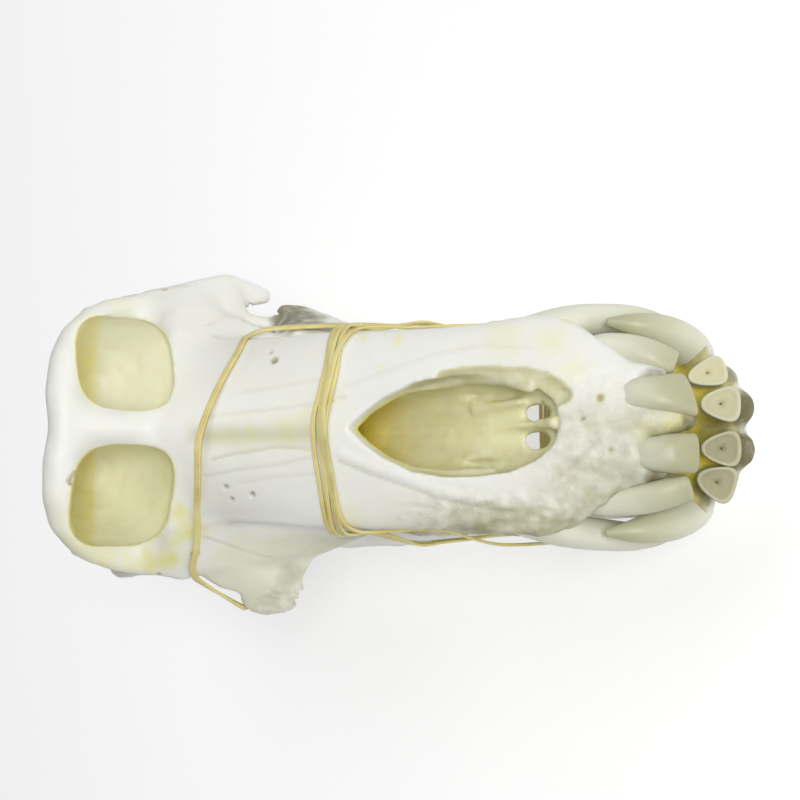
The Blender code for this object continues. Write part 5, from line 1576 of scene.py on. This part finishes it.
def tooth_material(name, worn):
    """Enamel, stained towards the tip; a worn tooth has dentine within the rim and a dark pulp hole."""
    made, tree, shader, place = new_material(name)
    rise = attribute(tree, "rise")
    own = attribute(tree, "own")
    broad = noise_node(tree, place, 150)
    streaks = noise_node(tree, place, 900, 2.0)
    # Each tooth's own darkening: a random tone, and painted shade on the right front teeth
    layers = [(own, ENAMEL_AGED), (ranged(tree, broad, 0.4, 0.75, 0, 0.35), ENAMEL_CLEAR)]
    if worn:
        layers += [
            (ranged(tree, rise, 0.2, 0.45, 0.7, 0), GUM_LINE),
            (ranged(tree, rise, 0.84, 0.87, 0, 0.85), mixed(tree, own, DENTINE, DENTINE_AGED)),
            (ranged(tree, rise, 0.97, 0.985, 0, 0.9), PULP_HOLE),
        ]
    else:
        layers += [
            (ranged(tree, rise, 0.3, 0.7, 0.8, 0), ROOT),
            (ranged(tree, rise, 0.5, 0.85, 0, 0.55), TIP),
        ]
    roughness = (0.5, 0.65) if worn else (0.36, 0.5)
    colour = layered(tree, ENAMEL, layers)
    finish(tree, shader, colour, streaks, roughness, [(broad, 0.15, 0.1)], (0.15, (1.0, 0.85, 0.6), 0.002))
    return made


def rubber_material():
    made, tree, shader, place = new_material("band_rubber")
    broad = noise_node(tree, place, 120)
    fine = noise_node(tree, place, 2600, 2.0)
    colour = mixed(tree, ranged(tree, broad, 0.35, 0.7, 0, 1), RUBBER, RUBBER_AGED)
    finish(tree, shader, colour, fine, (0.38, 0.55), [(fine, 0.05, 0.4)], (0.3, (1.0, 0.7, 0.3), 0.0015))
    return made


def floor_material():
    made, tree, shader, place = new_material("floor")
    speckle = noise_node(tree, place, 30)
    colour = mixed(tree, speckle, (0.62, 0.62, 0.62), (0.64, 0.64, 0.64))
    tree.links.new(colour, shader.inputs["Base Color"])
    shader.inputs["Roughness"].default_value = 0.9
    shader.inputs["Emission Color"].default_value = (1, 1, 1, 1)
    shader.inputs["Emission Strength"].default_value = 0.5
    return made


def settle(piece, material_used, slot, *nodes):
    """Places a piece in the shared frame, with its finish, its body and the nodes it stands for."""
    piece.data.transform(Matrix.Translation(PLACED * MM))
    piece.data.materials.clear()
    piece.data.materials.append(material_used)
    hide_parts(*nodes)
    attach(piece, "root")


def build():
    skull = cranium()
    jaw = jawbone()
    # The last numbers darken each tooth; the high ones of the right front teeth are painted shade
    rows = [tooth_row(*row) for row in (
        ("upper_front_teeth", upper_front(), CRANIUM_LEAN, (0.5, 0.95, 0.0, 0.4)),
        ("upper_canines", upper_canines(), CRANIUM_LEAN, (0.3,)),
        ("upper_cheek_teeth", cheek_teeth(UPPER_GRINDERS, 9.2, 0.5, 15), CRANIUM_LEAN, (0.35,)),
        ("lower_front_teeth", lower_front(), MANDIBLE_LEAN, (0.3, 0.95, 0.1, 0.85)),
        ("lower_canines", lower_canines(), MANDIBLE_LEAN, (0.3, 0.5)),
        ("lower_cheek_teeth", cheek_teeth(LOWER_GRINDERS, -9, -0.4, -15), MANDIBLE_LEAN, (0.4,)),
    )]
    solid = surface_tree([skull, jaw] + rows)
    around_muzzle = muzzle_band(solid)
    around_brow = brow_band(solid)
    bone = bone_material()
    enamel = tooth_material("enamel", worn=False)
    worn = tooth_material("worn_enamel", worn=True)
    rubber = rubber_material()
    settle(skull, bone, "bone", "cranium")
    settle(jaw, bone, "bone", "mandible")
    for piece in rows:
        covering = worn if piece.name == "lower_front_teeth" else enamel
        settle(piece, covering, "bone", "cranium" if piece.name.startswith("upper") else "mandible")
    settle(around_muzzle, rubber, "band_rubber", "band_muzzle")
    settle(around_brow, rubber, "band_rubber", "band_brow")


# The photo's camera, in the skull's own frame
VIEW_BACK = Vector((FACING_X, 0, FACING_Z)).normalized()
VIEW_RIGHT = Vector((FACING_Z, 0, -FACING_X)).normalized()
VIEW_UP = Vector((0, 1, 0))
VIEW_DISTANCE = 500
VIEW_ASIDE = 17.5
VIEW_ABOVE = 7.47
VIEW_TURN = math.radians(3)
TURN_AXIS = Vector((0.825, 0, -0.565)).normalized()
TURN_POINT = Vector((70, 0, 46))
LENS = 71.865

# The floor's side in millimetres, and the point that the lamps face in metres
FLOOR_SIZE = 6000
LAMP_TARGET = Vector((0.02, 0, 0.07))


def camera():
    place = Matrix((VIEW_RIGHT, VIEW_UP, VIEW_BACK)).transposed().to_4x4()
    place.translation = VIEW_BACK * VIEW_DISTANCE + VIEW_RIGHT * VIEW_ASIDE + VIEW_UP * VIEW_ABOVE
    turn = Matrix.Translation(TURN_POINT) @ Matrix.Rotation(VIEW_TURN, 4, TURN_AXIS)
    place = turn @ Matrix.Translation(-TURN_POINT) @ place
    place.translation = (place.translation + PLACED) * MM
    obj = bpy.data.objects.new("camera", bpy.data.cameras.new("camera"))
    bpy.context.scene.collection.objects.link(obj)
    obj.data.lens = LENS
    obj.data.clip_start = 0.01
    obj.matrix_world = place
    bpy.context.scene.camera = obj


def lamp(name, place, size, energy):
    """A round soft lamp that faces the skull."""
    light = bpy.data.lights.new(name, "AREA")
    light.shape = "DISK"
    light.size = size
    light.energy = energy
    obj = bpy.data.objects.new(name, light)
    obj.location = place
    obj.rotation_euler = (Vector(place) - LAMP_TARGET).to_track_quat("Z", "Y").to_euler()
    bpy.context.scene.collection.objects.link(obj)


def studio():
    scene = bpy.context.scene
    edge = FLOOR_SIZE / 2
    floor = mesh_object(
        "floor", [(-edge, -edge, 0), (edge, -edge, 0), (edge, edge, 0), (-edge, edge, 0)], [(0, 1, 2, 3)],
    )
    floor.data.materials.append(floor_material())
    world = bpy.data.worlds.new("studio")
    world.use_nodes = True
    background = world.node_tree.nodes["Background"]
    background.inputs["Color"].default_value = (1, 1, 1, 1)
    background.inputs["Strength"].default_value = 0.25
    scene.world = world
    lamp("key", (0.3, 0.6, 1.2), 0.8, 4.0)
    lamp("front", (1.16, 0.04, 1.04), 0.5, 12.6)
    scene.view_settings.view_transform = "Standard"


build()
camera()
studio()
